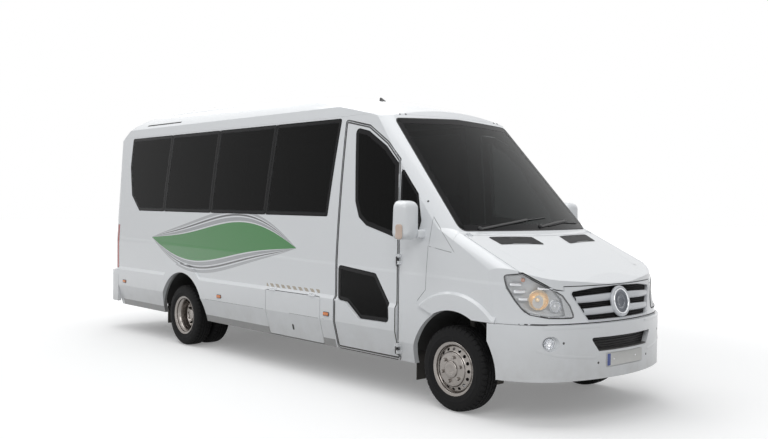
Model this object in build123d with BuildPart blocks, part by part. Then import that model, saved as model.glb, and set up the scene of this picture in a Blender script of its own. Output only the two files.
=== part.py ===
from build123d import *
import os
from math import cos, sin, pi, radians

os.makedirs("parts", exist_ok=True)

# Long-wheelbase minibus on a panel van's body, left-hand drive, twin rear wheels.
# Millimetres.  +X forward, +Y left, +Z up.  The origin is on the ground, under the
# middle of the overall length and width.

# ---------------------------------------------------------------- driving sizes
length = 7345.0             # over both bumpers
overhang_front = 1004.0     # front axle to the front bumper
wheelbase = 4325.0
roof_z = 2825.0             # crown of the roof
skin_half = 970.0           # half width of the body sides at the waist
trim_half = 993.0           # half width over the lower side trim and the bumpers
gutter_half = 838.0         # half width at the roof gutter
gutter_z = 2597.0
waist_z = 1150.0            # height where the sides start to lean in
sill_z = 330.0              # lower edge of the sides
sill_half = 925.0           # half width there, tucked in
floor_z = 740.0             # top of the cabin floor
floor_thickness = 50.0
wall = 50.0                 # body wall or door with its inner trim
pane = 6.0                  # window glass
door_gap = 7.0              # shut line round doors, bonnet and flap
fixed_gap = 0.8             # joint line between fixed panels

tyre_radius = 350.0
tyre_width = 205.0
rim_radius = 203.0          # bead seat of a 16 inch rim
front_track_half = 855.0
rear_wheel_half = 870.0     # middle of the outer rear wheel
twin_spacing = 235.0        # between the middles of a pair of rear wheels
kingpin_half = 705.0
hub_gap = 0.3               # running gap at hubs, ball joints and hinges
arch_radius_front = 475.0
arch_radius_rear = 495.0

front_axle = length / 2 - overhang_front
rear_axle = front_axle - wheelbase
nose_x = length / 2
tail_x = -length / 2
rear_face = tail_x + 31.0   # skin of the rear doors
SIDES = (("right", -1), ("left", 1))


def back(distance):
    """x of a place that far behind the front axle"""
    return front_axle - distance


def share(low, high, part):
    return low + (high - low) * part


# ------------------------------------------------------------------- body forms
screen_foot_z = 1455.0      # lower corners of the windscreen
screen_top_z = 2452.0       # its upper corners
bonnet_run, bonnet_drop = 640.0, 290.0      # slope of the bonnet
bonnet_half = 870.0         # half width of the bonnet at its side gaps
bonnet_crown = 41.0
tuck_z = 500.0              # below this height the sides tuck in to the sill
nose_lean = 0.18            # how far the nose leans back for each mm of height
roof_bow = 3787.0           # radius of the roof across the van, ahead and behind


def cabin_plan(height, inset):
    """closed plan of the cabin at one height: windscreen, corner posts, sides, tail"""
    up = (height - screen_foot_z) / (screen_top_z - screen_foot_z)
    lean = (height - waist_z) / (gutter_z - waist_z)
    middle = back(share(-123, 850, up)) - inset
    post_x = back(share(7, 935, up)) - 0.9 * inset
    post_y = share(856, 750, up) - 0.6 * inset
    side = share(skin_half + 4, gutter_half + 42, lean) - inset
    side_x = post_x - 300
    bend_x = post_x - 75
    bend_y = share(post_y, side, 0.66)
    corner = 300.0 - inset
    tail = rear_face + inset
    cut = corner * (1 - cos(pi / 4))
    with BuildSketch(Plane.XY.offset(height)) as plan:
        with BuildLine():
            ThreePointArc((post_x, -post_y), (middle, 0), (post_x, post_y))
            ThreePointArc((post_x, post_y), (bend_x, bend_y), (side_x, side))
            Line((side_x, side), (tail + corner, side))
            ThreePointArc((tail + corner, side), (tail + cut, side - cut), (tail, side - corner))
            Line((tail, side - corner), (tail, -side + corner))
            ThreePointArc((tail, -side + corner), (tail + cut, -side + cut), (tail + corner, -side))
            Line((tail + corner, -side), (side_x, -side))
            ThreePointArc((side_x, -side), (bend_x, -bend_y), (post_x, -post_y))
        make_face()
    return plan.sketch


def body_form(inset):
    """the whole body as one solid, its skin set in by inset, with no underside edge"""
    low_z = 250.0
    with BuildPart() as greenhouse:
        add(cabin_plan(waist_z, inset))
        add(cabin_plan(2950, inset))
        loft(ruled=True)
    with BuildPart() as lower:
        add(cabin_plan(waist_z, inset))
        extrude(amount=-(waist_z - low_z))

    slope = Plane((front_axle, 0, screen_foot_z), (0, 1, 0), (bonnet_run, 0, -bonnet_drop))
    shoulder = skin_half - inset
    with BuildPart() as bonnet_form:
        with BuildSketch(slope.offset(-560)):
            with BuildLine():
                ThreePointArc((-bonnet_half, -inset), (0, bonnet_crown - inset), (bonnet_half, -inset))
                ThreePointArc((bonnet_half, -inset), (939 - 0.9 * inset, -33 - 0.6 * inset), (shoulder, -110))
                Polyline((shoulder, -110), (shoulder, -2300), (-shoulder, -2300), (-shoulder, -110))
                ThreePointArc((-shoulder, -110), (-939 + 0.9 * inset, -33 - 0.6 * inset), (-bonnet_half, -inset))
            make_face()
        extrude(amount=2000)

    with BuildPart() as section:
        with BuildSketch(Plane.YZ.offset(tail_x - 100)):
            with BuildLine():
                Polyline((0, low_z), (sill_half - inset, low_z), (sill_half - inset, sill_z),
                         (shoulder, tuck_z), (shoulder, waist_z))
                ThreePointArc((shoulder, waist_z), (934 - inset, 1700), (gutter_half - inset, gutter_z))
                ThreePointArc((gutter_half - inset, gutter_z), (735 - 0.9 * inset, roof_z - 130 - 0.8 * inset),
                              (600, roof_z - 67 - inset))
                ThreePointArc((600, roof_z - 67 - inset), (300, roof_z - 17 - inset), (0, roof_z - inset))
                Line((0, roof_z - inset), (0, low_z))
            make_face()
            mirror(about=Plane.YZ)
        extrude(amount=length + 200)

    turn_z = roof_z - roof_bow
    top = roof_z - inset
    tail = rear_face + inset
    with BuildPart() as roof_form:
        with BuildSketch(Plane.XZ):
            with BuildLine():
                Polyline((back(-1200), turn_z), (back(-1200), 1900), (back(-400), 2100 - inset),
                         (back(850), roof_z - 288 - inset))
                ThreePointArc((back(850), roof_z - 288 - inset), (back(1750), roof_z - 109 - inset), (back(2900), top))
                Line((back(2900), top), (rear_face + 1030, top))
                ThreePointArc((rear_face + 1030, top), (rear_face + 490, top - 69),
                              (tail + 125 - 0.3 * inset, roof_z - 285 - 0.7 * inset))
                ThreePointArc((tail + 125 - 0.3 * inset, roof_z - 285 - 0.7 * inset), (tail + 20, 2200), (tail, 1800))
                Polyline((tail, 1800), (tail, turn_z), (back(-1200), turn_z))
            make_face()
        revolve(axis=Axis((0, 0, turn_z), (1, 0, 0)), revolution_arc=360)

    shift = nose_lean * (850 - low_z)
    with BuildPart() as nose_form:
        with BuildSketch(Plane.XY.offset(low_z)):
            with BuildLine():
                fore = front_axle + shift
                edge_x, edge_y = fore + 855 - inset, 620 - 0.3 * inset
                bend_x, bend_y = fore + 735 - 0.7 * inset, 812 - 0.7 * inset
                side_x, side_y = fore + 450, 970 - inset
                ThreePointArc((edge_x, edge_y), (fore + 960 - inset, 0), (edge_x, -edge_y))
                ThreePointArc((edge_x, -edge_y), (bend_x, -bend_y), (side_x, -side_y))
                Polyline((side_x, -side_y), (side_x - 20, -1100), (tail_x - 400, -1100),
                         (tail_x - 400, 1100), (side_x - 20, 1100), (side_x, side_y))
                ThreePointArc((side_x, side_y), (bend_x, bend_y), (edge_x, edge_y))
            make_face()
        extrude(amount=2700, dir=(-nose_lean, 0, 1))

    with BuildPart() as nose_side:
        with BuildSketch(Plane.XZ):
            with BuildLine():
                Polyline((tail_x - 100, low_z - 10), (back(-1100), low_z - 10), (back(-1100), 700),
                         (back(-985 + inset), 900))
                ThreePointArc((back(-985 + inset), 900), (back(-965 + inset), 1000 - 0.3 * inset),
                              (back(-905 + 0.6 * inset), 1078 - 0.8 * inset))
                Polyline((back(-905 + 0.6 * inset), 1078 - 0.8 * inset), (back(-800), 1137 - 1.1 * inset),
                         (back(-250), 1700), (back(-250), 2950), (tail_x - 100, 2950), (tail_x - 100, low_z - 10))
            make_face()
        extrude(amount=1100, both=True)

    with BuildPart() as form:
        add(greenhouse.part)
        add(lower.part)
        add(bonnet_form.part)
        add(section.part, mode=Mode.INTERSECT)
        add(roof_form.part, mode=Mode.INTERSECT)
        add(nose_form.part, mode=Mode.INTERSECT)
        add(nose_side.part, mode=Mode.INTERSECT)
    return form.part


skin = body_form(0.0)
behind_glass = body_form(pane)
inside = body_form(wall)


# -------------------------------------------------------------- cutting helpers
def side_discs(x, z, radius, near, far):
    """round blocks on both sides of the van, from near to far from the middle"""
    with BuildPart() as discs:
        for side in (-1, 1):
            with BuildSketch(Plane.XZ.offset(-side * near)):
                with Locations((x, z)):
                    Circle(radius)
            extrude(amount=far - near, dir=(0, side, 0))
    return discs.part


def side_block(outline, near, far, side, grow=0.0):
    """block on one side of the van; outline is (corner radius, (x, z), (x, z), ...)"""
    radius, points = outline[0], outline[1:]
    with BuildPart() as block:
        with BuildSketch(Plane.XZ.offset(-side * near)) as face:
            with BuildLine():
                Polyline(*points, close=True)
            make_face()
            if grow:
                offset(amount=grow, kind=Kind.INTERSECTION)
            if radius + grow > 1:
                fillet(face.vertices(), radius=radius + grow)
        extrude(amount=far - near, dir=(0, side, 0))
    return block.part


def end_block(outline, x_low, x_high, grow=0.0):
    """block that runs along the van; outline is (corner radius, (y, z), (y, z), ...)"""
    radius, points = outline[0], outline[1:]
    with BuildPart() as block:
        with BuildSketch(Plane.YZ.offset(x_low)) as face:
            with BuildLine():
                Polyline(*points, close=True)
            make_face()
            if grow:
                offset(amount=grow, kind=Kind.INTERSECTION)
            if radius + grow > 1:
                fillet(face.vertices(), radius=radius + grow)
        extrude(amount=x_high - x_low)
    return block.part


def box(x_low, x_high, y_low, y_high, z_low, z_high):
    """plain block between two corners"""
    with BuildPart() as block:
        with BuildSketch(Plane.XY.offset(z_low)):
            with Locations(((x_low + x_high) / 2, (y_low + y_high) / 2)):
                Rectangle(x_high - x_low, y_high - y_low)
        extrude(amount=z_high - z_low)
    return block.part


def rod(start, end, radius):
    """round bar from start to end"""
    axis = Vector(*end) - Vector(*start)
    with BuildPart() as bar:
        with BuildSketch(Plane(start, z_dir=axis)):
            Circle(radius)
        extrude(amount=axis.length)
    return bar.part


# ------------------------------------------------- lower side trim, wheel arches
arch_front_x = front_axle + 15.0
arch_rear_x = rear_axle - 20.0
arch_z = tyre_radius + 5.0
flare_front = arch_radius_front + 150.0
flare_rear = arch_radius_rear + 105.0
trim_top_z = 822.0
trim_step = trim_half - skin_half
trim_rear = rear_face + 320.0
trim_front = back(-470)
far_half = trim_half + 60.0     # clear outside the body

with BuildPart() as side_trim:
    for x, radius in ((arch_front_x, flare_front), (arch_rear_x, flare_rear)):
        add(side_discs(x, arch_z, radius, skin_half - wall, trim_half))
    chamfer(side_trim.edges().filter_by(GeomType.CIRCLE).group_by(SortBy.LENGTH)[-1], trim_step - 3)
    for side in (-1, 1):
        add(end_block((0, (side * 900, sill_z), (side * trim_half, sill_z), (side * trim_half, trim_top_z - 35),
                       (side * skin_half, trim_top_z), (side * 900, trim_top_z)), trim_rear, trim_front))
    add(end_block((0, (-sill_half, sill_z), (sill_half, sill_z), (trim_half, 585), (trim_half, 1100),
                   (-trim_half, 1100), (-trim_half, 585)), tail_x, nose_x), mode=Mode.INTERSECT)

with BuildPart() as body_shell:
    add(skin)
    add(side_trim.part)
    add(inside, mode=Mode.SUBTRACT)
    add(side_discs(arch_front_x, arch_z, arch_radius_front, 300, far_half), mode=Mode.SUBTRACT)
    add(side_discs(arch_rear_x, arch_z, arch_radius_rear, 300, far_half), mode=Mode.SUBTRACT)
    add(box(tail_x, nose_x + 100, -far_half, far_half, 0, sill_z), mode=Mode.SUBTRACT)
shell = body_shell.part


def glazing(outline, near, far, side, rim=32.0):
    """(pane, rebate, opening) of a flush window in a body side"""
    with BuildPart() as window:
        add(side_block(outline, near, far, side))
        add(skin, mode=Mode.INTERSECT)
        add(behind_glass, mode=Mode.SUBTRACT)
    with BuildPart() as rebate:
        add(side_block(outline, near, far, side, grow=2.0))
        add(behind_glass, mode=Mode.SUBTRACT)
    return window.part, rebate.part, side_block(outline, near, far, side, grow=-rim)


def save(part, name):
    """write one finished piece"""
    part.label = name
    export_step(part, f"parts/{name}.step")


# -------------------------------------------------------------- panel outlines
door_rear = back(1483)          # rear edge of the entry door
door_front = back(640)          # its front edge, and the hinge line
door_foot = sill_z + 12
door_top = 2455.0
door_swing_gap = 16.0           # wider gap on the side that swings out first
driver_rear = back(1300)
driver_front = back(285)
near_half = 700.0               # inboard of every wall of the body sides
header_z = 2500.0               # joint between sides and roof

entry_outline = (30, (door_rear, door_foot), (door_front, door_foot), (door_front, 1230), (back(706), 2067),
                 (back(873), 2225), (back(1145), 2388), (door_rear, door_top))
entry_upper = (45, (back(1340), 2385), (back(1262), 1702), (back(1199), 1560), (back(1089), 1488),
               (back(690), 1392), (back(660), 1450), (back(716), 2040), (back(890), 2195), (back(1150), 2345))
entry_lower = (40, (back(1453), 1112), (back(930), 1066), (back(740), 810), (back(730), 650), (back(1131), 646),
               (back(1317), 780), (back(1453), 792))
driver_outline = (20, (driver_rear, door_foot + 10), (back(640), door_foot + 10), (back(640), 640),
                  (back(480), 800), (back(419), 851), (back(302), 970), (driver_front, 1300), (back(300), 1560),
                  (back(760), 2105),
                  (back(960), 2290), (back(1130), 2375), (driver_rear, 2400))
driver_window = (40, (back(1245), 2345), (back(1245), 1530), (back(860), 1500), (back(700), 1405),
                 (back(410), 1405), (back(400), 1560), (back(800), 2080), (back(985), 2245), (back(1140), 2330))
quarter_outline = (25, (back(676), 2020), (back(640), 1402), (back(425), 1405), (back(385), 1545),
                   (back(440), 1770))
side_window_rows = (
    # top front, bottom front, top rear, bottom rear: distances behind the front axle
    (1561, 1660, 2617, 2695),
    (2625, 2703, 3721, 3777),
    (3729, 3785, 4796, 4852),
    (4804, 4860, 5850, 5500),
)
window_low, window_high = 1557.0, 2482.0
screen_outline = (50, (-848, 1472), (848, 1472), (750, 2452), (0, 2484), (-750, 2452))
bonnet_rear = 40.0              # ahead of the front axle, at the bonnet's sides
bonnet_bow = 135.0              # more than that in the middle
wing_split = 592.0              # half width of the radiator panel
nose_foot = 775.0               # joint with the bumper
grille_top, grille_foot = 1055.0, 800.0

lamp_face = Plane((front_axle, 0, 0), (1, 1, 0), (1, -1, 0))
lamp_outline = ((-297, 1149), (-157, 1166), (85, 1040), (300, 1006), (300, 845), (40, 836), (-141, 869),
                (-214, 950), (-277, 1048))


def lamp_block(grow, near):
    """block that cuts out the right headlamp, along the diagonal that it faces, from near outwards"""
    with BuildPart() as block:
        with BuildSketch(lamp_face.offset(600)) as face:
            with BuildLine():
                Polyline(*lamp_outline, close=True)
            make_face()
            fillet(face.vertices(), radius=22)
            if grow:
                offset(amount=grow)
        extrude(amount=900)
        add(box(back(0), nose_x + 100, -near, far_half, 0, 2000), mode=Mode.SUBTRACT)
    return block.part


lamp_right = lamp_block(0, wing_split + fixed_gap)
lamp_hole_right = lamp_block(fixed_gap, wing_split - 5)
lamp_room_right = lamp_block(door_gap, wing_split - 5)
lamp_left = mirror(lamp_right, about=Plane.XZ)

grille_outline = (20, (-545, 1020), (-300, 1046), (0, grille_top), (300, 1046), (545, 1020), (405, grille_foot),
                  (-405, grille_foot))
grille_low_x, grille_high_x = back(-760), back(-1100)

# ------------------------------------------------------------------ front panels
bonnet_edge = bonnet_half - 4
bonnet_foot = grille_top + 12


def behind_bonnet(gap, x_low, z_low, z_high):
    """block from x_low to the rear edge of the bonnet, less the gap"""
    edge_x = back(-bonnet_rear) - gap
    with BuildPart() as block:
        with BuildSketch(Plane.XY.offset(z_low)):
            with BuildLine():
                ThreePointArc((edge_x, -bonnet_edge), (edge_x + bonnet_bow, 0), (edge_x, bonnet_edge))
                Polyline((edge_x, bonnet_edge), (x_low, bonnet_edge), (x_low, -bonnet_edge), (edge_x, -bonnet_edge))
            make_face()
        extrude(amount=z_high - z_low)
    return block.part


# bonnet hinges: short barrels in pockets at the rear corners
bonnet_axis_x, bonnet_axis_z = back(-44.5), 1432.0
bonnet_barrel = 8.0
with BuildPart() as bonnet_pockets:
    with BuildSketch(Plane.XY.offset(bonnet_axis_z - 18)):
        with Locations((bonnet_axis_x, -820), (bonnet_axis_x, 820)):
            Rectangle(46, 62)
    extrude(amount=60)

with BuildPart() as bonnet:
    add(box(back(0), nose_x + 100, -bonnet_edge, bonnet_edge, bonnet_foot, 1500))
    for side in (-1, 1):
        add(box(back(-700), nose_x, *sorted((side * (wing_split + 4), side * bonnet_edge)), 1000, bonnet_foot))
    add(behind_bonnet(0, back(500), 900, 1600), mode=Mode.SUBTRACT)
    add(shell, mode=Mode.INTERSECT)
    add(lamp_room_right, mode=Mode.SUBTRACT)
    add(mirror(lamp_room_right, about=Plane.XZ), mode=Mode.SUBTRACT)
    add(bonnet_pockets.part, mode=Mode.SUBTRACT)
    for low, high in ((-828, -812), (812, 828)):
        add(rod((bonnet_axis_x, low, bonnet_axis_z), (bonnet_axis_x, high, bonnet_axis_z), bonnet_barrel))
        add(box(bonnet_axis_x, bonnet_axis_x + 32, low, high, bonnet_axis_z - 7, bonnet_axis_z - 1))
wing_side = (0, (back(302) + fixed_gap, 970), (driver_front + fixed_gap, 1300), (driver_front + fixed_gap, 1336),
             (back(15), 1300), (back(-10), 1500), (back(-620), 1500), (back(-620), nose_foot), (back(200), nose_foot),
             (back(419) + fixed_gap, 851))
with BuildPart() as wing_right:
    add(side_block(wing_side, bonnet_half + 3, far_half, -1))
    add(box(back(-560), nose_x, -far_half, -wing_split, nose_foot, 1000))
    add(shell, mode=Mode.INTERSECT)
    add(lamp_hole_right, mode=Mode.SUBTRACT)
save(wing_right.part, "wing_right")
save(bonnet.part, "bonnet")

with BuildPart() as nose_panel:
    add(box(back(-700), nose_x, -wing_split + fixed_gap, wing_split - fixed_gap, nose_foot, grille_top + 5))
    add(shell, mode=Mode.INTERSECT)
    add(end_block(grille_outline, grille_low_x, grille_high_x, grow=0.3), mode=Mode.SUBTRACT)
save(nose_panel.part, "nose_panel")

fog_y, fog_z, fog_radius = 745.0, 635.0, 58.0
with BuildPart() as front_lamps:
    add(lamp_right)
    add(lamp_left)
    add(skin, mode=Mode.INTERSECT)
    add(inside, mode=Mode.SUBTRACT)
    for side in (-1, 1):
        add(rod((back(-720), side * fog_y, fog_z), (back(-780), side * fog_y, fog_z), fog_radius - fixed_gap))
save(front_lamps.part, "front_lamps")

with BuildPart() as grille:
    add(end_block(grille_outline, grille_low_x, grille_high_x))
    add(shell, mode=Mode.INTERSECT)
    for low, high in ((835, 880), (915, 965), (1000, 1030)):
        add(end_block((0, (-380, low), (380, low), (480, high), (-480, high)), grille_low_x, grille_high_x),
            mode=Mode.SUBTRACT)
    boss_z = (grille_top + grille_foot) / 2
    with BuildSketch(Plane.YZ.offset(back(-900))):
        with Locations((0, boss_z)):
            Circle(118)
    extrude(amount=52)
    with BuildSketch(Plane.YZ.offset(back(-905))):
        for y in (-240, 240):
            with Locations((y, boss_z)):
                Rectangle(16, grille_top - grille_foot - 60)
    extrude(amount=25)
save(grille.part, "grille")

# ---------------------------------------------------------------------- bumpers
bumper_top = nose_foot - fixed_gap
bumper_wall = 45.0
with BuildPart() as front_bumper:
    with BuildSketch(Plane.XY.offset(sill_z + 15)) as plan:
        with BuildLine():
            ThreePointArc((back(-885), 640), (nose_x, 0), (back(-885), -640))
            ThreePointArc((back(-885), -640), (back(-752), -842), (back(-450), -trim_half))
            Polyline((back(-450), -trim_half), (back(-400), -trim_half), (back(-400), trim_half),
                     (back(-450), trim_half))
            ThreePointArc((back(-450), trim_half), (back(-752), 842), (back(-885), 640))
        make_face()
    extrude(amount=bumper_top - sill_z - 15)
    with BuildSketch(Plane.XY.offset(sill_z)):
        with BuildLine():
            inset = bumper_wall
            ThreePointArc((back(-843), 625), (nose_x - inset, 0), (back(-843), -625))
            ThreePointArc((back(-843), -625), (back(-722), -809), (back(-450), -trim_half + inset))
            Polyline((back(-450), -trim_half + inset), (back(-300), -trim_half + inset),
                     (back(-300), trim_half - inset), (back(-450), trim_half - inset))
            ThreePointArc((back(-450), trim_half - inset), (back(-722), 809), (back(-843), 625))
        make_face()
    extrude(amount=bumper_top - sill_z + 10, mode=Mode.SUBTRACT)
    add(side_discs(arch_front_x, arch_z, arch_radius_front, 300, far_half), mode=Mode.SUBTRACT)
    add(end_block((15, (-415, 668), (415, 668), (330, 560), (-330, 560)), back(-700), nose_x + 50),
        mode=Mode.SUBTRACT)
    add(end_block((6, (-262, 428), (262, 428), (262, 541), (-262, 541)), nose_x - 20, nose_x + 50),
        mode=Mode.SUBTRACT)
    with BuildSketch(Plane.YZ.offset(back(-600))):
        with Locations((-fog_y, fog_z), (fog_y, fog_z)):
            Circle(fog_radius)
    extrude(amount=500, mode=Mode.SUBTRACT)
save(front_bumper.part, "front_bumper")

rear_bumper_top = 776.0
with BuildPart() as rear_bumper:
    with BuildSketch(Plane.XY.offset(sill_z + 42)) as plan:
        with BuildLine():
            inner = trim_half - bumper_wall
            cut = 240 * (1 - cos(pi / 4))
            Polyline((trim_rear - fixed_gap, trim_half), (tail_x + 240, trim_half))
            ThreePointArc((tail_x + 240, trim_half), (tail_x + cut, trim_half - cut), (tail_x, trim_half - 240))
            Line((tail_x, trim_half - 240), (tail_x, -trim_half + 240))
            ThreePointArc((tail_x, -trim_half + 240), (tail_x + cut, -trim_half + cut), (tail_x + 240, -trim_half))
            Polyline((tail_x + 240, -trim_half), (trim_rear - fixed_gap, -trim_half), (trim_rear - fixed_gap, -inner),
                     (tail_x + 240, -inner))
            ThreePointArc((tail_x + 240, -inner), (tail_x + cut + 38, -inner + cut - 7),
                          (tail_x + 90, -trim_half + 240))
            Line((tail_x + 90, -trim_half + 240), (tail_x + 90, trim_half - 240))
            ThreePointArc((tail_x + 90, trim_half - 240), (tail_x + cut + 38, inner - cut + 7), (tail_x + 240, inner))
            Polyline((tail_x + 240, inner), (trim_rear - fixed_gap, inner), (trim_rear - fixed_gap, trim_half))
        make_face()
    extrude(amount=rear_bumper_top - sill_z - 42)
save(rear_bumper.part, "rear_bumper")

# ---------------------------------------------------------------------- hinges
hinge_radius = 9.0
hinge_half = 15.0           # half length of the moving barrel


def barrel_spans(z, moving):
    """(low, high) of the moving barrel, or of the two fixed ones round it"""
    if moving:
        return ((z - hinge_half, z + hinge_half),)
    reach = hinge_half + hub_gap
    return ((z - 3 * hinge_half, z - reach), (z + reach, z + 3 * hinge_half))


def side_hinge(x, y, heights, way, side, moving):
    """hinges of a side door on an upright axis; way is where the leaf goes along the van"""
    with BuildPart() as leaf:
        for z in heights:
            for low, high in barrel_spans(z, moving):
                add(rod((x, y, low), (x, y, high), hinge_radius))
                add(box(*sorted((x + way * 2, x + way * 30)), *sorted((y, y - side * 62)), low, high))
    return leaf.part


def tail_hinge(x, y, rows, way, moving):
    """hinges of a rear door on an upright axis; rows are (height, length of the leaf)"""
    with BuildPart() as leaf:
        for z, reach in rows:
            for low, high in barrel_spans(z, moving):
                add(rod((x, y, low), (x, y, high), hinge_radius))
                add(box(x, x + reach, *sorted((y + way * 2, y + way * 20)), low, high))
    return leaf.part


# ------------------------------------------------------------------- entry door
entry_axis_x = door_front + door_gap / 2
entry_axis_y = -trim_half - 3
entry_hinges = (440.0, 1210.0)
upper = glazing(entry_upper, near_half, far_half, -1)
lower = glazing(entry_lower, near_half, far_half, -1)
with BuildPart() as entry_door:
    add(side_block(entry_outline, near_half, far_half, -1))
    add(shell, mode=Mode.INTERSECT)
    for window, rebate, opening in (upper, lower):
        add(rebate, mode=Mode.SUBTRACT)
        add(opening, mode=Mode.SUBTRACT)
    add(side_hinge(entry_axis_x, entry_axis_y, entry_hinges, -1, -1, True))
save(entry_door.part, "entry_door")
with BuildPart() as entry_door_glass:
    add(upper[0])
    add(lower[0])
save(entry_door_glass.part, "entry_door_glass")

driver_axis_x = driver_front + door_gap / 2
driver_axis_y = skin_half + 18
driver_hinges = (1060.0, 1250.0)
side_pane = glazing(driver_window, near_half, far_half, 1)
with BuildPart() as driver_door:
    add(side_block(driver_outline, near_half, far_half, 1))
    add(shell, mode=Mode.INTERSECT)
    add(side_pane[1], mode=Mode.SUBTRACT)
    add(side_pane[2], mode=Mode.SUBTRACT)
    add(side_hinge(driver_axis_x, driver_axis_y, driver_hinges, -1, 1, True))
save(driver_door.part, "driver_door")
with BuildPart() as driver_door_glass:
    add(side_pane[0])
save(driver_door_glass.part, "driver_door_glass")

# -------------------------------------------------------------------- cab front
entry_hole = (30, (door_rear - door_swing_gap, 0), (door_front + door_gap, 0), (door_front + door_gap, 1230),
              (back(706 - door_gap), 2067 + 2), (back(873 - 5), 2225 + 6), (back(1145 - 3), 2388 + 7),
              (door_rear - door_swing_gap, door_top + door_gap))
driver_hole = (20, (driver_rear - door_swing_gap, 0), (back(640 - door_gap), 0), (back(640 - door_gap), 640),
               (back(480 - 6), 800), (back(419 - 6), 851), (back(302 - 6), 966), (driver_front + door_gap, 1300),
               (back(300 - 6), 1560), (back(760 - 5), 2105 + 5), (back(960 - 4), 2290 + 6), (back(1130 - 2), 2375 + 7),
               (driver_rear - door_swing_gap, 2400 + door_gap))
with BuildPart() as wing_left:
    add(mirror(wing_right.part, about=Plane.XZ))
    add(side_block(driver_hole, near_half, far_half, 1), mode=Mode.SUBTRACT)
    for z in driver_hinges:
        add(box(back(302), driver_axis_x + 12, skin_half - wall - 10, far_half, z - hinge_half - hub_gap,
                z + hinge_half + hub_gap), mode=Mode.SUBTRACT)
    add(side_hinge(driver_axis_x, driver_axis_y, driver_hinges, 1, 1, False))
save(wing_left.part, "wing_left")

quarter = glazing(quarter_outline, near_half, far_half, -1, rim=22)
screen_low_x, screen_high_x = back(1150), back(-400)
firewall_rear, firewall_x = back(90), back(50)
firewall_foot = 690.0
with BuildPart() as inner_pillars:
    for side in (-1, 1):
        add(box(back(280), firewall_x, *sorted((side * 860, side * (skin_half - wall))), 850, 1330))
    add(inside, mode=Mode.INTERSECT)

with BuildPart() as screen_rebate:
    add(end_block(screen_outline, screen_low_x, screen_high_x, grow=2))
    add(behind_glass, mode=Mode.SUBTRACT)

with BuildPart() as cab_front:
    for side in (-1, 1):
        rear_line = door_rear if side < 0 else driver_rear
        add(side_block((0, (rear_line, sill_z), (back(200), sill_z), (back(200), nose_foot - fixed_gap),
                        (back(419), 851 - fixed_gap), (back(302), 970), (driver_front, 1300),
                        (driver_front, 1336 + fixed_gap), (back(15), 1300 + fixed_gap), (back(-7), 1500),
                        (back(-7), header_z), (rear_line, header_z)), near_half - 100, far_half, side))
    add(box(back(1150), back(-300), -bonnet_half, bonnet_half, 1440, header_z))
    add(shell, mode=Mode.INTERSECT)
    add(box(firewall_rear, firewall_x, -900, 900, firewall_foot, 1445))
    add(inner_pillars.part)
    add(behind_bonnet(door_gap, firewall_rear, 1375, 1441))
    add(skin, mode=Mode.INTERSECT)
    add(side_block(entry_hole, near_half, far_half, -1), mode=Mode.SUBTRACT)
    add(side_block(driver_hole, near_half, far_half, 1), mode=Mode.SUBTRACT)
    add(quarter[1], mode=Mode.SUBTRACT)
    add(quarter[2], mode=Mode.SUBTRACT)
    add(screen_rebate.part, mode=Mode.SUBTRACT)
    add(end_block(screen_outline, screen_low_x, screen_high_x, grow=-34), mode=Mode.SUBTRACT)
    add(side_discs(arch_front_x, arch_z, arch_radius_front, 500, far_half), mode=Mode.SUBTRACT)
    add(bonnet_pockets.part, mode=Mode.SUBTRACT)
    add(side_hinge(entry_axis_x, entry_axis_y, entry_hinges, 1, -1, False))
    for side in (-1, 1):
        for near, far in ((796, 812 - hub_gap), (828 + hub_gap, 844)):
            add(rod((bonnet_axis_x, side * near, bonnet_axis_z), (bonnet_axis_x, side * far, bonnet_axis_z),
                    bonnet_barrel))
            add(box(bonnet_axis_x - 30, bonnet_axis_x, *sorted((side * near, side * far)), bonnet_axis_z - 7,
                    bonnet_axis_z - 1))
save(cab_front.part, "cab_front")

with BuildPart() as windscreen:
    add(end_block(screen_outline, screen_low_x, screen_high_x))
    add(skin, mode=Mode.INTERSECT)
    add(behind_glass, mode=Mode.SUBTRACT)
save(windscreen.part, "windscreen")
# ------------------------------------------------------------------- side walls
rear_door_half = 785.0
rear_door_foot, rear_door_top = 786.0, 2500.0
corner_x = rear_face + 150.0
flap_rear, flap_front = back(2602), back(1704)
flap_top = 790.0
flap_outline = (20, (flap_rear, sill_z + 12), (flap_front, sill_z + 12), (flap_front, flap_top),
                (flap_rear, flap_top))
tail_lamp_low, tail_lamp_high = 804.0, 1368.0
tail_lamp_inner, tail_lamp_front = 812.0, rear_face + 300.0

window_blocks = []
for top_front, foot_front, top_rear, foot_rear in side_window_rows:
    points = [(back(top_front), window_high), (back(foot_front), window_low), (back(foot_rear), window_low)]
    if foot_rear < top_rear:
        points += [(back(5735), 1750), (back(top_rear - 6), 2120)]
    points += [(back(top_rear), window_high)]
    window_blocks.append(glazing((25, *points), near_half, far_half, -1, rim=40))
with BuildPart() as window_holes:
    for window, rebate, opening in window_blocks:
        add(rebate)
        add(opening)
with BuildPart() as side_windows:
    for window, rebate, opening in window_blocks:
        add(window)
save(mirror(side_windows.part, about=Plane.XZ), "side_windows_left")
with BuildPart() as side_windows_right:
    add(side_windows.part)
    add(quarter[0])
save(side_windows_right.part, "side_windows_right")

opening_half = rear_door_half + door_gap
rear_opening_points = (30, (-opening_half, 600), (opening_half, 600), (opening_half, rear_door_top + door_gap),
                       (-opening_half, rear_door_top + door_gap))
rear_opening = end_block(rear_opening_points, tail_x - 50, corner_x)
rear_axis_x = rear_face + 8
rear_axis_y = rear_door_half + door_gap / 2
rear_hinges = ((950, 46), (1400, 60), (1900, 80))   # height, length of the leaf
flap_axis_y = -trim_half - 3
flap_axis_z = flap_top + door_gap / 2
flap_barrel = 6.0
flap_hinges = (flap_rear + 120, flap_front - 120)

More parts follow.
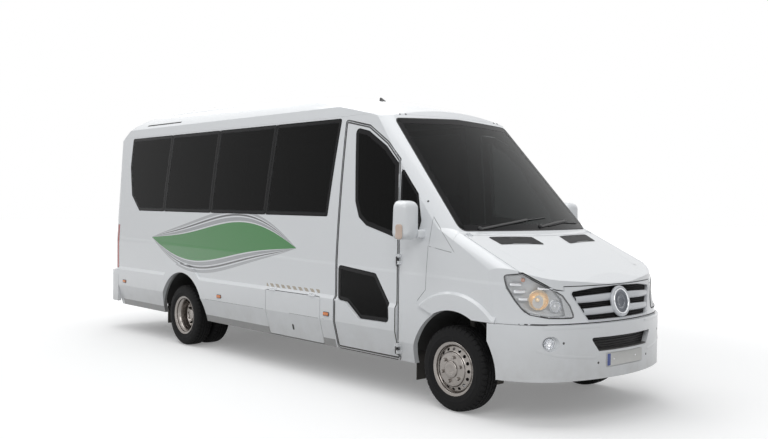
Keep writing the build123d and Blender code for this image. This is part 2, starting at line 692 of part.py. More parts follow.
for name, side in SIDES:
    front_line = (door_rear if side < 0 else driver_rear) - fixed_gap
    with BuildPart() as side_wall:
        add(side_block((0, (tail_x - 50, sill_z), (front_line, sill_z), (front_line, header_z),
                        (tail_x - 50, header_z)), near_half, far_half, side))
        add(shell, mode=Mode.INTERSECT)
        add(side_block(entry_hole if side < 0 else driver_hole, near_half, far_half, side), mode=Mode.SUBTRACT)
        add(window_holes.part if side < 0 else mirror(window_holes.part, about=Plane.XZ), mode=Mode.SUBTRACT)
        add(rear_opening, mode=Mode.SUBTRACT)
        add(box(tail_x - 50, trim_rear, -far_half, far_half, 0, rear_bumper_top + fixed_gap), mode=Mode.SUBTRACT)
        add(box(tail_x - 50, tail_lamp_front, *sorted((side * (tail_lamp_inner - fixed_gap), side * far_half)),
                tail_lamp_low - fixed_gap, tail_lamp_high + fixed_gap), mode=Mode.SUBTRACT)
        add(tail_hinge(rear_axis_x, side * rear_axis_y, rear_hinges, side, False))
        if side < 0:
            add(side_block(flap_outline, near_half, far_half, side, grow=door_gap), mode=Mode.SUBTRACT)
            for x in flap_hinges:
                for near, far in ((-45, -15 - hub_gap), (15 + hub_gap, 45)):
                    add(rod((x + near, flap_axis_y, flap_axis_z), (x + far, flap_axis_y, flap_axis_z), flap_barrel))
                    add(box(x + near, x + far, flap_axis_y, flap_axis_y + 40, flap_axis_z + 1, flap_axis_z + 22))
    save(side_wall.part, f"side_wall_{name}")

with BuildPart() as tail_lamps:
    for side in (-1, 1):
        add(box(tail_x - 50, tail_lamp_front - fixed_gap, *sorted((side * tail_lamp_inner, side * far_half)),
                tail_lamp_low, tail_lamp_high))
    add(skin, mode=Mode.INTERSECT)
    add(inside, mode=Mode.SUBTRACT)
save(tail_lamps.part, "tail_lamps")

with BuildPart() as roof:
    add(box(tail_x, nose_x, -far_half, far_half, header_z + fixed_gap, roof_z + 50))
    add(shell, mode=Mode.INTERSECT)
    add(rear_opening, mode=Mode.SUBTRACT)
save(roof.part, "roof")

# ------------------------------------------------------------------- rear doors
rear_low_x, rear_high_x = tail_x - 40, corner_x
rear_door_outline = (25, (-5, rear_door_foot), (-rear_door_half, rear_door_foot), (-rear_door_half, rear_door_top),
                     (-5, rear_door_top))
rear_window_outline = (40, (-95, 1560), (-700, 1560), (-672, 2360), (-95, 2360))
with BuildPart() as rear_rebate:
    add(end_block(rear_window_outline, rear_low_x, rear_high_x, grow=2))
    add(behind_glass, mode=Mode.SUBTRACT)

with BuildPart() as rear_door_right:
    add(end_block(rear_door_outline, rear_low_x, rear_high_x))
    add(shell, mode=Mode.INTERSECT)
    add(rear_rebate.part, mode=Mode.SUBTRACT)
    add(end_block(rear_window_outline, rear_low_x, rear_high_x, grow=-30), mode=Mode.SUBTRACT)
    add(tail_hinge(rear_axis_x, -rear_axis_y, rear_hinges, 1, True))
save(rear_door_right.part, "rear_door_right")
save(mirror(rear_door_right.part, about=Plane.XZ), "rear_door_left")

with BuildPart() as rear_window_right:
    add(end_block(rear_window_outline, rear_low_x, rear_high_x))
    add(skin, mode=Mode.INTERSECT)
    add(behind_glass, mode=Mode.SUBTRACT)
save(rear_window_right.part, "rear_window_right")
save(mirror(rear_window_right.part, about=Plane.XZ), "rear_window_left")

with BuildPart() as luggage_flap:
    add(side_block(flap_outline, near_half, far_half, -1))
    add(shell, mode=Mode.INTERSECT)
    for x in flap_hinges:
        add(rod((x - 15, flap_axis_y, flap_axis_z), (x + 15, flap_axis_y, flap_axis_z), flap_barrel))
        add(box(x - 15, x + 15, flap_axis_y, flap_axis_y + 40, flap_axis_z - 22, flap_axis_z - 1))
save(luggage_flap.part, "luggage_flap")

# --------------------------------------------------------------- mirrors, roof
with BuildPart() as mirror_right:
    add(box(back(455), back(320), -1213, -1005, 1385, 1715))
    fillet(mirror_right.edges().filter_by(Axis.Y), 45)
    fillet(mirror_right.edges().filter_by(Axis.Z).group_by(SortBy.LENGTH)[-1].sort_by(Axis.X)[-2:], 35)
    add(box(back(380), back(325), -1040, -940, 1400, 1470))
    add(skin, mode=Mode.SUBTRACT)
save(mirror_right.part, "mirror_right")
save(mirror(mirror_right.part, about=Plane.XZ), "mirror_left")

unit_rear, unit_front = back(5500), back(4000)
unit_nose = back(3450)
unit_half = 560.0
unit_top = 2835.0
with BuildPart() as roof_unit:
    with BuildSketch(Plane.XZ):
        with BuildLine():
            Polyline((unit_rear, 2700), (unit_rear + 60, unit_top), (unit_front - 180, unit_top),
                     (unit_front + 230, unit_top - 8), (unit_nose, 2800), (unit_nose, 2700), close=True)
        make_face()
    extrude(amount=unit_half, both=True)
    add(skin, mode=Mode.SUBTRACT)
save(roof_unit.part, "roof_unit")

# ------------------------------------------------------------------- wheels
rim_half = 92.0                 # half width over the rim's flanges
rim_thickness = 8.0
disc_thickness = 12.0
front_offset = 85.0             # outer face of the front wheel's disc, from the wheel's middle
twin_offset = twin_spacing / 2  # the twin wheels' discs meet back to back
hub_radius = 60.0
rear_hub = 20.0                 # how far the inner wheels' hubs stand inboard of their discs
hand_holes = 16


def turned(points, x, middle_y, side):
    """ring about a wheel's axle line; points are (radius, outboard) pairs"""
    with BuildPart() as ring:
        with BuildSketch(Plane.XY.offset(tyre_radius)):
            with BuildLine():
                Polyline(*((x + radius, middle_y + side * out) for radius, out in points), close=True)
            make_face()
        revolve(axis=Axis((x, 0, tyre_radius), (0, 1, 0)))
    return ring.part


bead, flange = rim_radius, rim_radius + 18
tread = tyre_radius
tyre_points = ((bead, -80), (flange, -86), (flange + 50, -tyre_width / 2), (tread - 30, 6 - tyre_width / 2),
               (tread, 30 - tyre_width / 2), (tread, tyre_width / 2 - 30), (tread - 30, tyre_width / 2 - 6),
               (flange + 50, tyre_width / 2), (flange, 86), (bead, 80))
well = bead - 28
rim_points = ((flange, -rim_half), (flange, -86), (bead, -80), (bead, -62), (well, -48), (well, 30), (bead, 62),
              (bead, 80), (flange, 86), (flange, rim_half), (flange - rim_thickness, rim_half),
              (bead - rim_thickness, 84), (bead - rim_thickness, 64), (well - rim_thickness, 34),
              (well - rim_thickness, -50), (bead - rim_thickness, -66), (bead - rim_thickness, -84),
              (flange - rim_thickness, -rim_half))


def disc_points(face, root, cap):
    """wheel disc from the rim's well to the hub; face is its outer plane, cap the hub's end"""
    t = disc_thickness
    way = 1 if face > root else -1
    shoulder = face - way * 12
    return ((well - 4, root), (well - 28, root + way * 4), (128, shoulder), (110, face), (hub_radius, face),
            (hub_radius, cap - 10), (hub_radius - 10, cap), (0, cap), (0, face - t), (110 - way * 4, face - t),
            (128 - way * 7, shoulder - t), (well - 28 - way * 8, root - t + way * 4), (well - 4, root - t))


def wheel_rim(x, middle_y, side, face, root, cap):
    """rim ring and disc with its hand holes"""
    with BuildPart() as rim:
        add(turned(rim_points, x, middle_y, side))
        add(turned(disc_points(face, root, cap), x, middle_y, side))
        with BuildSketch(Plane((x, middle_y, tyre_radius), (1, 0, 0), (0, -1, 0))):
            with PolarLocations(138, hand_holes):
                Circle(14)
        extrude(amount=160, both=True, mode=Mode.SUBTRACT)
    return rim.part


for name, side in SIDES:
    middle = side * front_track_half
    with BuildPart() as tyre_front:
        add(turned(tyre_points, front_axle, middle, side))
    save(tyre_front.part, f"tyre_front_{name}")
    with BuildPart() as rim_front:
        add(wheel_rim(front_axle, middle, side, front_offset, 40, front_offset + 40))
    save(rim_front.part, f"rim_front_{name}")

    outer, inner = side * rear_wheel_half, side * (rear_wheel_half - twin_spacing)
    with BuildPart() as tyres_rear:
        add(turned(tyre_points, rear_axle, outer, side))
        add(turned(tyre_points, rear_axle, inner, side))
    save(tyres_rear.part, f"tyres_rear_{name}")
    with BuildPart() as rims_rear:
        add(wheel_rim(rear_axle, outer, side, disc_thickness - twin_offset, -44, 0))
        twin_face = disc_thickness - twin_offset
        add(wheel_rim(rear_axle, inner, -side, twin_face, -44, twin_face + rear_hub))
    save(rims_rear.part, f"rims_rear_{name}")

# --------------------------------------------------------- front axle, steering
hub_seat = front_offset - disc_thickness - hub_gap      # outboard of the wheel's middle
arm_z = 190.0
strut_low, strut_high = 560.0, 810.0
spindle_end = front_track_half + hub_seat
for name, side in SIDES:
    kingpin, spindle = side * kingpin_half, side * spindle_end
    with BuildPart() as knuckle:
        add(rod((front_axle, kingpin, arm_z + 20), (front_axle, kingpin, strut_low), 26))
        add(rod((front_axle, kingpin, tyre_radius), (front_axle, spindle, tyre_radius), 42))
        add(rod((front_axle, spindle - side * 22, tyre_radius), (front_axle, spindle, tyre_radius), 75))
        add(rod((front_axle, spindle - side * 110, tyre_radius), (front_axle, spindle - side * 85, tyre_radius), 140))
        add(box(front_axle - 150, front_axle, kingpin - 12, kingpin + 12, 285, 320))
    save(knuckle.part, f"knuckle_{name}")

frame_half, frame_wide = 380.0, 80.0        # chassis rails: inner face and width
frame_low, frame_high = 560.0, floor_z - floor_thickness
arm_top = arm_z + 14 - hub_gap
with BuildPart() as front_subframe:
    add(box(front_axle - 90, front_axle + 90, -frame_half - frame_wide, frame_half + frame_wide, 240, 320))
    for side in (-1, 1):
        kingpin = side * kingpin_half
        rail = sorted((side * frame_half, side * (frame_half + frame_wide)))
        arm = sorted((side * frame_half, kingpin))
        tower = sorted((side * frame_half, kingpin + side * 45))
        inner_plate = sorted((side * frame_half, side * (frame_half + 20)))
        add(box(front_axle - 35, front_axle + 35, *arm, arm_z - 20, arm_top))
        add(rod((front_axle, kingpin, arm_z - 24), (front_axle, kingpin, arm_z + 20 - hub_gap), 30))
        add(box(front_axle - 60, front_axle + 60, *rail, arm_z - 20, 330))
        add(box(front_axle - 40, front_axle + 40, *rail, 320, frame_low))
        add(rod((front_axle, kingpin, strut_low + hub_gap), (front_axle, kingpin, strut_high), 26))
        add(box(front_axle - 45, front_axle + 70, *tower, strut_high - 20, strut_high))
        add(box(front_axle - 45, front_axle + 70, *inner_plate, frame_high, strut_high))
save(front_subframe.part, "front_subframe")

with BuildPart() as chassis_rails:
    for side in (-1, 1):
        rail = sorted((side * frame_half, side * (frame_half + frame_wide)))
        add(box(tail_x + 90, back(-897), *rail, frame_low, frame_high))
    for x in (back(-790), back(900), back(1900), back(2900), rear_axle + 620, rear_axle - 760, tail_x + 160):
        add(box(x - 30, x + 30, -frame_half, frame_half, frame_low + 20, frame_high))
save(chassis_rails.part, "chassis_rails")

axle_radius = 60.0
inner_hub = rear_wheel_half - twin_spacing + twin_offset - disc_thickness - rear_hub
spring_half, spring_run = frame_half + frame_wide / 2, 680.0
with BuildPart() as rear_suspension:
    axle_end = inner_hub - hub_gap
    add(rod((rear_axle, -axle_end, tyre_radius), (rear_axle, axle_end, tyre_radius), axle_radius))
    with BuildSketch(Plane.XZ.offset(-110)):
        with Locations((rear_axle, tyre_radius)):
            Circle(165)
    extrude(amount=220)
    for side in (-1, 1):
        with BuildSketch(Plane.XZ.offset(-side * (spring_half - 35))):
            with BuildLine():
                Polyline((rear_axle - spring_run, frame_low), (rear_axle - spring_run, 480), (rear_axle - 120, 420),
                         (rear_axle - 120, 350), (rear_axle + 120, 350), (rear_axle + 120, 420),
                         (rear_axle + spring_run, 480), (rear_axle + spring_run, frame_low),
                         (rear_axle + spring_run - 40, frame_low), (rear_axle + spring_run - 40, 505),
                         (rear_axle + 100, 450), (rear_axle - 100, 450), (rear_axle - spring_run + 40, 505),
                         (rear_axle - spring_run + 40, frame_low), close=True)
            make_face()
        extrude(amount=70, dir=(0, side, 0))
    add(rod((rear_axle + 120, 0, 370), (back(712), 0, 540), 38))
save(rear_suspension.part, "rear_suspension")

with BuildPart() as engine:
    add(box(back(-160), back(-700), -250, 250, 500, 1000))
    add(box(back(-380), back(-440), -frame_half, frame_half, 590, 650))
    add(box(back(700), back(-160), -150, 150, 460, frame_high - 3))
save(engine.part, "engine")

# ---------------------------------------------------------------- floor, locker
wall_inside = skin_half - wall
step_rear, step_front = door_rear - 15, door_front + 15
step_half = 560.0
step_out = sill_half - wall - 10.0
arch_inner_front, arch_inner_rear = 525.0, 505.0
sheet = 10.0
locker_half = 520.0
liner_foot = 430.0
aisle_y = (-390.0, -60.0)       # the raised covering of the aisle
aisle_top = floor_z + 2
arches = (
    # wheel, middle, radius, inner face's distance from the middle plane
    ("front", arch_front_x, arch_radius_front, arch_inner_front),
    ("rear", arch_rear_x, arch_radius_rear, arch_inner_rear),
)
with BuildPart() as floor_cuts:     # room for the driver's door, the strut towers and the bulkhead
    add(box(driver_rear - 20, driver_front + 20, wall_inside - 15, far_half, 0, 1100))
    add(box(back(50), back(-75), -540, 540, strut_high - 30, 900))
    add(box(firewall_rear, firewall_x, -far_half, far_half, firewall_foot, 1445))
with BuildPart() as step_well:
    add(box(step_rear - sheet, step_front + sheet, -far_half, -step_half, 380, floor_z))
with BuildPart() as floor_pan:
    add(box(corner_x - 90, firewall_rear, -wall_inside, wall_inside, floor_z - floor_thickness, floor_z))
    add(box(back(6000), back(1540), *aisle_y, floor_z, aisle_top))
    for wheel, x, radius, inner in arches:
        add(side_discs(x, arch_z, radius + sheet, inner - sheet, far_half), mode=Mode.SUBTRACT)
    add(step_well.part, mode=Mode.SUBTRACT)
    add(floor_cuts.part, mode=Mode.SUBTRACT)
    add(inside, mode=Mode.INTERSECT)
save(floor_pan.part, "floor_pan")

for wheel, x, radius, inner in arches:
    with BuildPart() as wheel_boxes:
        add(side_discs(x, arch_z, radius + sheet, inner - sheet, wall_inside))
        add(side_discs(x, arch_z, radius, inner, far_half), mode=Mode.SUBTRACT)
        add(box(tail_x, nose_x, -far_half, far_half, -400, liner_foot), mode=Mode.SUBTRACT)
        add(step_well.part, mode=Mode.SUBTRACT)
        add(floor_cuts.part, mode=Mode.SUBTRACT)
        add(inside, mode=Mode.INTERSECT)
    save(wheel_boxes.part, f"wheel_boxes_{wheel}")

step_section = ((-step_out, 380), (-step_out, 395), (-740, 395), (-740, 570), (-step_half - 15, 570),
                (-step_half - 15, floor_z), (-step_half, floor_z), (-step_half, 555), (-725, 555), (-725, 380))
with BuildPart() as entry_step:
    with BuildSketch(Plane.YZ.offset(step_rear - sheet)):
        with BuildLine():
            Polyline(*step_section, close=True)
        make_face()
    extrude(amount=step_front - step_rear + 2 * sheet)
    for x in (step_rear - sheet, step_front):
        add(box(x, x + sheet, -step_out, -step_half, 380, floor_z))
    add(inside, mode=Mode.INTERSECT)
save(entry_step.part, "entry_step")

with BuildPart() as side_locker:
    locker_top = floor_z - floor_thickness
    add(box(flap_rear, flap_front, -wall_inside, -locker_half, sill_z + 20, locker_top))
    add(box(flap_rear + sheet, flap_front - sheet, -far_half, -locker_half - sheet, sill_z + 30, locker_top),
        mode=Mode.SUBTRACT)
    add(inside, mode=Mode.INTERSECT)
save(side_locker.part, "side_locker")

with BuildPart() as fuel_tank:
    add(box(back(2500), back(1700), 480, 860, 380, frame_high))
    fillet(fuel_tank.edges().filter_by(Axis.X), 45)
save(fuel_tank.part, "fuel_tank")

with BuildPart() as exhaust:
    add(rod((back(150), -300, 520), (back(3500), -300, 520), 30))
    for x in (back(600), back(2700)):
        add(box(x - 15, x + 15, -310, -290, 530, floor_z - floor_thickness))
    with BuildSketch(Plane.YZ.offset(back(3200))):
        with Locations((-300, 500)):
            Ellipse(110, 80)
    extrude(amount=700)
save(exhaust.part, "exhaust")

with BuildPart() as mudflaps:
    flap_rows = ((arch_front_x, arch_radius_front, 700, 175), (arch_rear_x, arch_radius_rear, 560, 190))
    for x, radius, near, foot in flap_rows:
        for side in (-1, 1):
            span = sorted((side * near, side * 870))
            add(box(x - radius - 40, x - radius - 32, *span, foot, 480))
            add(box(x - radius - 40, x - radius + 20, *span, 450, 480))
        add(side_discs(x, arch_z, radius + sheet + hub_gap, 400, far_half), mode=Mode.SUBTRACT)
save(mudflaps.part, "mudflaps")

# --------------------------------------------------------------------- interior
seat_pitch = 780.0
seat_width = 440.0
seat_height = 440.0             # top of the cushion above the floor
rows = 5
first_row = back(2450)
seat_offsets = (-632.0, 180.0, 634.0)


def seat(x, y, turn_up=0.0):
    """cushion and back of one seat, facing forward; x is the back edge of the cushion"""
    with BuildPart() as pad:
        with BuildSketch(Plane.XZ.offset(-(y - seat_width / 2))):
            with BuildLine():
                base = floor_z + seat_height + turn_up
                Polyline((x, base - 110), (x + 440, base - 110), (x + 460, base), (x + 90, base - 20),
                         (x - 50, base + 620), (x - 140, base + 600), close=True)
            make_face()
        extrude(amount=-seat_width)
    return pad.part


driver_y = 470.0
driver_seat_x = back(1340)
with BuildPart() as seats:
    add(seat(driver_seat_x, driver_y, 20))
    for row in range(rows):
        for y in seat_offsets:
            add(seat(first_row - row * seat_pitch, y))
save(seats.part, "seats")

with BuildPart() as seat_frames:
    for row in range(rows):
        for y in seat_offsets:
            x = first_row - row * seat_pitch
            add(box(x + 40, x + 400, y - 150, y - 110, floor_z, floor_z + seat_height - 110))
            add(box(x + 40, x + 400, y + 110, y + 150, floor_z, floor_z + seat_height - 110))
    add(box(driver_seat_x + 20, driver_seat_x + 420, driver_y - 200, driver_y + 200, floor_z,
            floor_z + seat_height + 20 - 110))
    add(side_discs(arch_rear_x, arch_z, arch_radius_rear + sheet, arch_inner_rear - sheet, wall_inside),
        mode=Mode.SUBTRACT)
save(seat_frames.part, "seat_frames")

wheel_centre = Vector(back(640), driver_y, 1350)
wheel_lean = Vector(-0.8, 0, 0.6)
with BuildPart() as steering_wheel:
    plane = Plane(wheel_centre, (0, 1, 0), wheel_lean)
    with BuildSketch(plane.offset(-14)):
        Circle(205)
        Circle(178, mode=Mode.SUBTRACT)
        Circle(60)
        for angle in (0, 120, 240):
            with Locations(Rotation(0, 0, angle)):
                with Locations((0, 100)):
                    Rectangle(36, 170)
    extrude(amount=28)
    hub = wheel_centre - wheel_lean * 14
    add(rod(tuple(hub), tuple(hub - wheel_lean * 60), 30))
save(steering_wheel.part, "steering_wheel")
with BuildPart() as dashboard:
    with BuildSketch(Plane.XZ.offset(850)):
        with BuildLine():
            Polyline((firewall_rear, floor_z + 330), (firewall_rear, 1400), (back(330), 1400), (back(470), 1290),
                     (back(470), 1130), (back(330), floor_z + 330), close=True)
        make_face()
    extrude(amount=-1700)
    add(inside, mode=Mode.INTERSECT)
    top = wheel_centre - wheel_lean * (74 + hub_gap)
    add(rod(tuple(top), tuple(top - wheel_lean * 170), 38))
save(dashboard.part, "dashboard")
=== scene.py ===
import math
from functools import partial

import bpy
from mathutils import Matrix, Vector
from mathutils.bvhtree import BVHTree


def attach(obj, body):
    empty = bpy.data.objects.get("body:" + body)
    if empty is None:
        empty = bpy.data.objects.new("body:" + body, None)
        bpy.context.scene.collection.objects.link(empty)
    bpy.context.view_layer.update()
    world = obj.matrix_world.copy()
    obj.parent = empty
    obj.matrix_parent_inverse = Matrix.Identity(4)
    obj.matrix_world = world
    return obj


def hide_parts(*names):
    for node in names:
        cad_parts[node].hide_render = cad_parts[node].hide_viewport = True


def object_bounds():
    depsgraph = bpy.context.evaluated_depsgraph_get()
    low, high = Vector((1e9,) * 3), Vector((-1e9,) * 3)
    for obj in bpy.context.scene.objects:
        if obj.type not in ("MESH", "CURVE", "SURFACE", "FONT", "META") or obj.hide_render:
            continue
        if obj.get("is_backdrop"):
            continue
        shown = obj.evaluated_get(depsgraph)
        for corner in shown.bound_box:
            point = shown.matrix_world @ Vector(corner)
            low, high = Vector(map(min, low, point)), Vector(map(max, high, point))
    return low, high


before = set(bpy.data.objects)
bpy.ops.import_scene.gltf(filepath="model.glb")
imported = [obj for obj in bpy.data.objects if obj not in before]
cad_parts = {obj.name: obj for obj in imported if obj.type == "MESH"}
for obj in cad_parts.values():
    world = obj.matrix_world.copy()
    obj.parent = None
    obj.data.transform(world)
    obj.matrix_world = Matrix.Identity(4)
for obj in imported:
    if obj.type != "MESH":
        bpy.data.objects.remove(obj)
cad_low, cad_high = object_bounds()

# ---------------------------------------------------------------- studio and camera
# A pale floor and soft lamps stand for the studio in which the finished bus is shown.
# The camera stands off the right front corner at about the height of the windows.
scene = bpy.context.scene
scene.view_settings.view_transform = "Standard"


def set_socket(tree, socket, value):
    """feeds a socket from another socket, or sets it to a value"""
    if isinstance(value, bpy.types.NodeSocket):
        tree.links.new(value, socket)
    else:
        socket.default_value = value


def set_sockets(tree, node, **sockets):
    """feeds or sets a node's named sockets; returns its outputs"""
    for label, value in sockets.items():
        set_socket(tree, node.inputs[label.replace("_", " ")], value)
    return node.outputs


def new_node(tree, kind, **sockets):
    node = tree.nodes.new(f"ShaderNode{kind}")
    set_sockets(tree, node, **sockets)
    return node


def calculate(tree, operation, *values):
    """a Math node; returns its output"""
    node = new_node(tree, "Math")
    node.operation = operation
    for socket, value in zip(node.inputs, values):
        set_socket(tree, socket, value)
    return node.outputs[0]


def soft_range(tree, value, low, high, at_low=1.0, at_high=0.0):
    """at_low where a value is below low, at_high where it is above high, smooth between"""
    node = tree.nodes.new("ShaderNodeMapRange")
    node.interpolation_type = "SMOOTHSTEP"
    return set_sockets(tree, node, Value=value, From_Min=low, From_Max=high, To_Min=at_low, To_Max=at_high)["Result"]


def show_directly(tree, seen, other, output):
    """one shader for the camera, also through glass and in mirrors, and another for all other rays"""
    rays = tree.nodes.new("ShaderNodeLightPath").outputs
    direct = calculate(tree, "MAXIMUM", rays["Is Camera Ray"], rays["Is Transmission Ray"])
    mixed = tree.nodes.new("ShaderNodeMixShader")
    tree.links.new(calculate(tree, "MAXIMUM", direct, rays["Is Glossy Ray"]), mixed.inputs[0])
    tree.links.new(other.outputs[0], mixed.inputs[1])
    tree.links.new(seen.outputs[0], mixed.inputs[2])
    tree.links.new(mixed.outputs[0], tree.nodes[output].inputs["Surface"])


def new_material(name, **sockets):
    """a material with its Principled shader's own sockets set; returns (material, tree, shader)"""
    material = bpy.data.materials.new(name)
    material.use_nodes = True
    tree = material.node_tree
    shader = tree.nodes["Principled BSDF"]
    set_sockets(tree, shader, **sockets)
    return material, tree, shader


def new_object(name, data):
    made = bpy.data.objects.new(name, data)
    scene.collection.objects.link(made)
    return made


floor_half = 60.0
floor_mesh = bpy.data.meshes.new("studio_floor")
floor_mesh.from_pydata([(a * floor_half, b * floor_half, 0) for a, b in ((-1, -1), (1, -1), (1, 1), (-1, 1))], [],
                       [(0, 1, 2, 3)])
floor = new_object("studio_floor", floor_mesh)
floor_paint, tree, shader = new_material("floor_paint", Base_Color=(0.86, 0.86, 0.86, 1), Roughness=0.9,
                                         Specular_IOR_Level=0.1)
reach = new_node(tree, "VectorMath")
reach.operation = "LENGTH"
tree.links.new(new_node(tree, "TexCoord").outputs["Object"], reach.inputs[0])
near_reach, far_reach, near_glow, far_glow = 3.5, 11.0, 0.21, 1.0
glow = new_node(tree, "Emission", Color=(1, 1, 1, 1),
                Strength=soft_range(tree, reach.outputs["Value"], near_reach, far_reach, near_glow, far_glow))
bright_floor = new_node(tree, "AddShader")
tree.links.new(shader.outputs[0], bright_floor.inputs[0])
tree.links.new(glow.outputs[0], bright_floor.inputs[1])
show_directly(tree, bright_floor, new_node(tree, "BsdfDiffuse", Color=(0.44, 0.44, 0.44, 1)), "Material Output")
floor_mesh.materials.append(floor_paint)
floor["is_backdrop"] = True

sky = bpy.data.worlds.new("studio_sky")
scene.world = sky
sky.use_nodes = True
tree = sky.node_tree
sky_light = tree.nodes["Background"]
set_sockets(tree, sky_light, Color=(0.97, 0.985, 1.0, 1), Strength=0.43)
show_directly(tree, new_node(tree, "Background", Color=(1, 1, 1, 1), Strength=1.0), sky_light, "World Output")

lamp_table = (
    # name, stand, aim, size, power
    ("key_lamp", (9.0, -9.0, 8.5), (1.0, 0.0, 1.0), 7.0, 420),
    ("top_lamp", (-1.0, -1.0, 9.5), (0.0, 0.0, 1.0), 9.0, 500),
    ("rear_lamp", (-10.0, 6.0, 6.5), (0.0, 0.0, 1.2), 6.0, 200),
)
for name, stand, aim, size, power in lamp_table:
    lamp_data = bpy.data.lights.new(name, "AREA")
    lamp_data.size, lamp_data.energy = size, power
    lamp = new_object(name, lamp_data)
    lamp.location = stand
    lamp.rotation_euler = (Vector(aim) - Vector(stand)).to_track_quat("-Z", "Y").to_euler()

camera = scene.camera = new_object("camera", bpy.data.cameras.new("camera"))
camera.data.lens = 41.6934
camera.data.clip_start, camera.data.clip_end = 0.1, 200
camera.location = (7.6358, -6.1764, 1.6966)
yaw, pitch, roll = (math.radians(angle) for angle in (138.0604, -1.1115, 0.6315))
look = Vector((math.cos(yaw) * math.cos(pitch), math.sin(yaw) * math.cos(pitch), math.sin(pitch)))
camera.rotation_mode = "QUATERNION"
camera.rotation_quaternion = look.to_track_quat("-Z", "Y") @ Matrix.Rotation(roll, 3, "Z").to_quaternion()


# ---------------------------------------------------------------- painted body shell
# Pressed steel and moulded plastic panels, sprayed in one white two-layer lacquer.  Near the sills a patchy
# warm grey is laid on, partly road dirt and partly painted shade; rolled swage lines stiffen the long sides.
def blend_colours(tree, factor, first, second):
    """a Mix node for colours; returns its output"""
    node = tree.nodes.new("ShaderNodeMix")
    node.data_type = "RGBA"
    for index, value in ((0, factor), (6, first), (7, second)):
        set_socket(tree, node.inputs[index], value)
    return node.outputs[2]


def place_on_bus(tree):
    """the shaded point in the bus's own frame, and its x, y and z"""
    point = new_node(tree, "TexCoord").outputs["Object"]
    parts = new_node(tree, "SeparateXYZ", Vector=point).outputs
    return point, parts["X"], parts["Y"], parts["Z"]


def new_group(name, inputs, outputs):
    """a shader node group with named sockets; returns (group, what it is given, its output node)"""
    group = bpy.data.node_groups.new(name, "ShaderNodeTree")
    for label, kind, default in inputs:
        group.interface.new_socket(name=label, in_out="INPUT", socket_type=kind).default_value = default
    for label, kind in outputs:
        group.interface.new_socket(name=label, in_out="OUTPUT", socket_type=kind)
    return group, group.nodes.new("NodeGroupInput").outputs, group.nodes.new("NodeGroupOutput")


def place_group(tree, group, **sockets):
    """a node group placed in a material with its own values; returns its outputs"""
    node = tree.nodes.new("ShaderNodeGroup")
    node.node_tree = group
    return set_sockets(tree, node, **sockets)


COLOUR, NUMBER, VECTOR = "NodeSocketColor", "NodeSocketFloat", "NodeSocketVector"
DUST_AND_SHADE = (0.30, 0.27, 0.23)
# road dirt that darkens a finish towards the ground; on the lacquers it is also painted shade low on the body
dirt_and_shade_group, given, made = new_group(
    "road_dirt_and_shade",
    (("Colour", COLOUR, (1, 1, 1, 1)), ("Film Colour", COLOUR, (*DUST_AND_SHADE, 1)), ("Top", NUMBER, 0.9),
     ("Amount", NUMBER, 0.3), ("Scale", NUMBER, 5.0)),
    (("Colour", COLOUR), ("Mask", NUMBER)))
position, _, _, at_z = place_on_bus(dirt_and_shade_group)
cloud = new_node(dirt_and_shade_group, "TexNoise", Vector=position, Scale=given["Scale"], Detail=8.0, Roughness=0.62)
road_height, cloud_contrast = 0.1, 1.6
patchy = calculate(dirt_and_shade_group, "MULTIPLY", soft_range(dirt_and_shade_group, at_z, road_height, given["Top"]),
                   calculate(dirt_and_shade_group, "POWER", cloud.outputs[0], cloud_contrast))
dirt_and_shade_mask = calculate(dirt_and_shade_group, "MULTIPLY", patchy, given["Amount"])
set_sockets(dirt_and_shade_group, made, Mask=dirt_and_shade_mask,
            Colour=blend_colours(dirt_and_shade_group, dirt_and_shade_mask, given["Colour"], given["Film Colour"]))

grain_group, given, made = new_group(
    "fine_grain", (("Scale", NUMBER, 200.0), ("Stretch", VECTOR, (1, 1, 1))),
    (("Height", NUMBER), ("Mask", NUMBER)))
stretched = new_node(grain_group, "VectorMath")
stretched.operation = "MULTIPLY"
grain_group.links.new(place_on_bus(grain_group)[0], stretched.inputs[0])
grain_group.links.new(given["Stretch"], stretched.inputs[1])
speckle = new_node(grain_group, "TexNoise", Vector=stretched.outputs[0], Scale=given["Scale"], Detail=3.0).outputs[0]
set_sockets(grain_group, made, Height=speckle, Mask=soft_range(grain_group, speckle, 0.3, 0.7))
slot_of = {}


def finish_of(name, colour, roughness, slot=None, grain=200.0, bump=0.05, spread=0.08, film=0.3, top=0.9, scale=5.0,
              film_colour=DUST_AND_SHADE, stretch=(1, 1, 1), paint=None, **sockets):
    """a material with a patchy darker tint over its colour towards the ground, which is road dirt and on the
    lacquers also painted shade, grain in its bump and a roughness that varies; slot is kept in slot_of under the
    material's name"""
    material, tree, shader = new_material(name, **sockets)
    slot_of[material.name] = slot
    under, height = paint(tree, (*colour, 1)) if paint else ((*colour, 1), None)
    film_made = place_group(tree, dirt_and_shade_group, Colour=under, Film_Colour=(*film_colour, 1), Top=top, Amount=film,
                            Scale=scale)
    grain_made = place_group(tree, grain_group, Scale=grain, Stretch=stretch)
    varied = calculate(tree, "MULTIPLY_ADD", grain_made["Mask"], spread, roughness)
    relief = new_node(tree, "Bump", Strength=bump, Distance=0.001, Height=grain_made["Height"])
    if height is not None:
        swage = new_node(tree, "Bump", Strength=1.0, Distance=1.0, Height=height)
        set_sockets(tree, relief, Normal=swage.outputs[0])
    set_sockets(tree, shader, Base_Color=film_made["Colour"], Normal=relief.outputs[0],
                Roughness=calculate(tree, "MULTIPLY_ADD", film_made["Mask"], 0.5, varied))
    return material


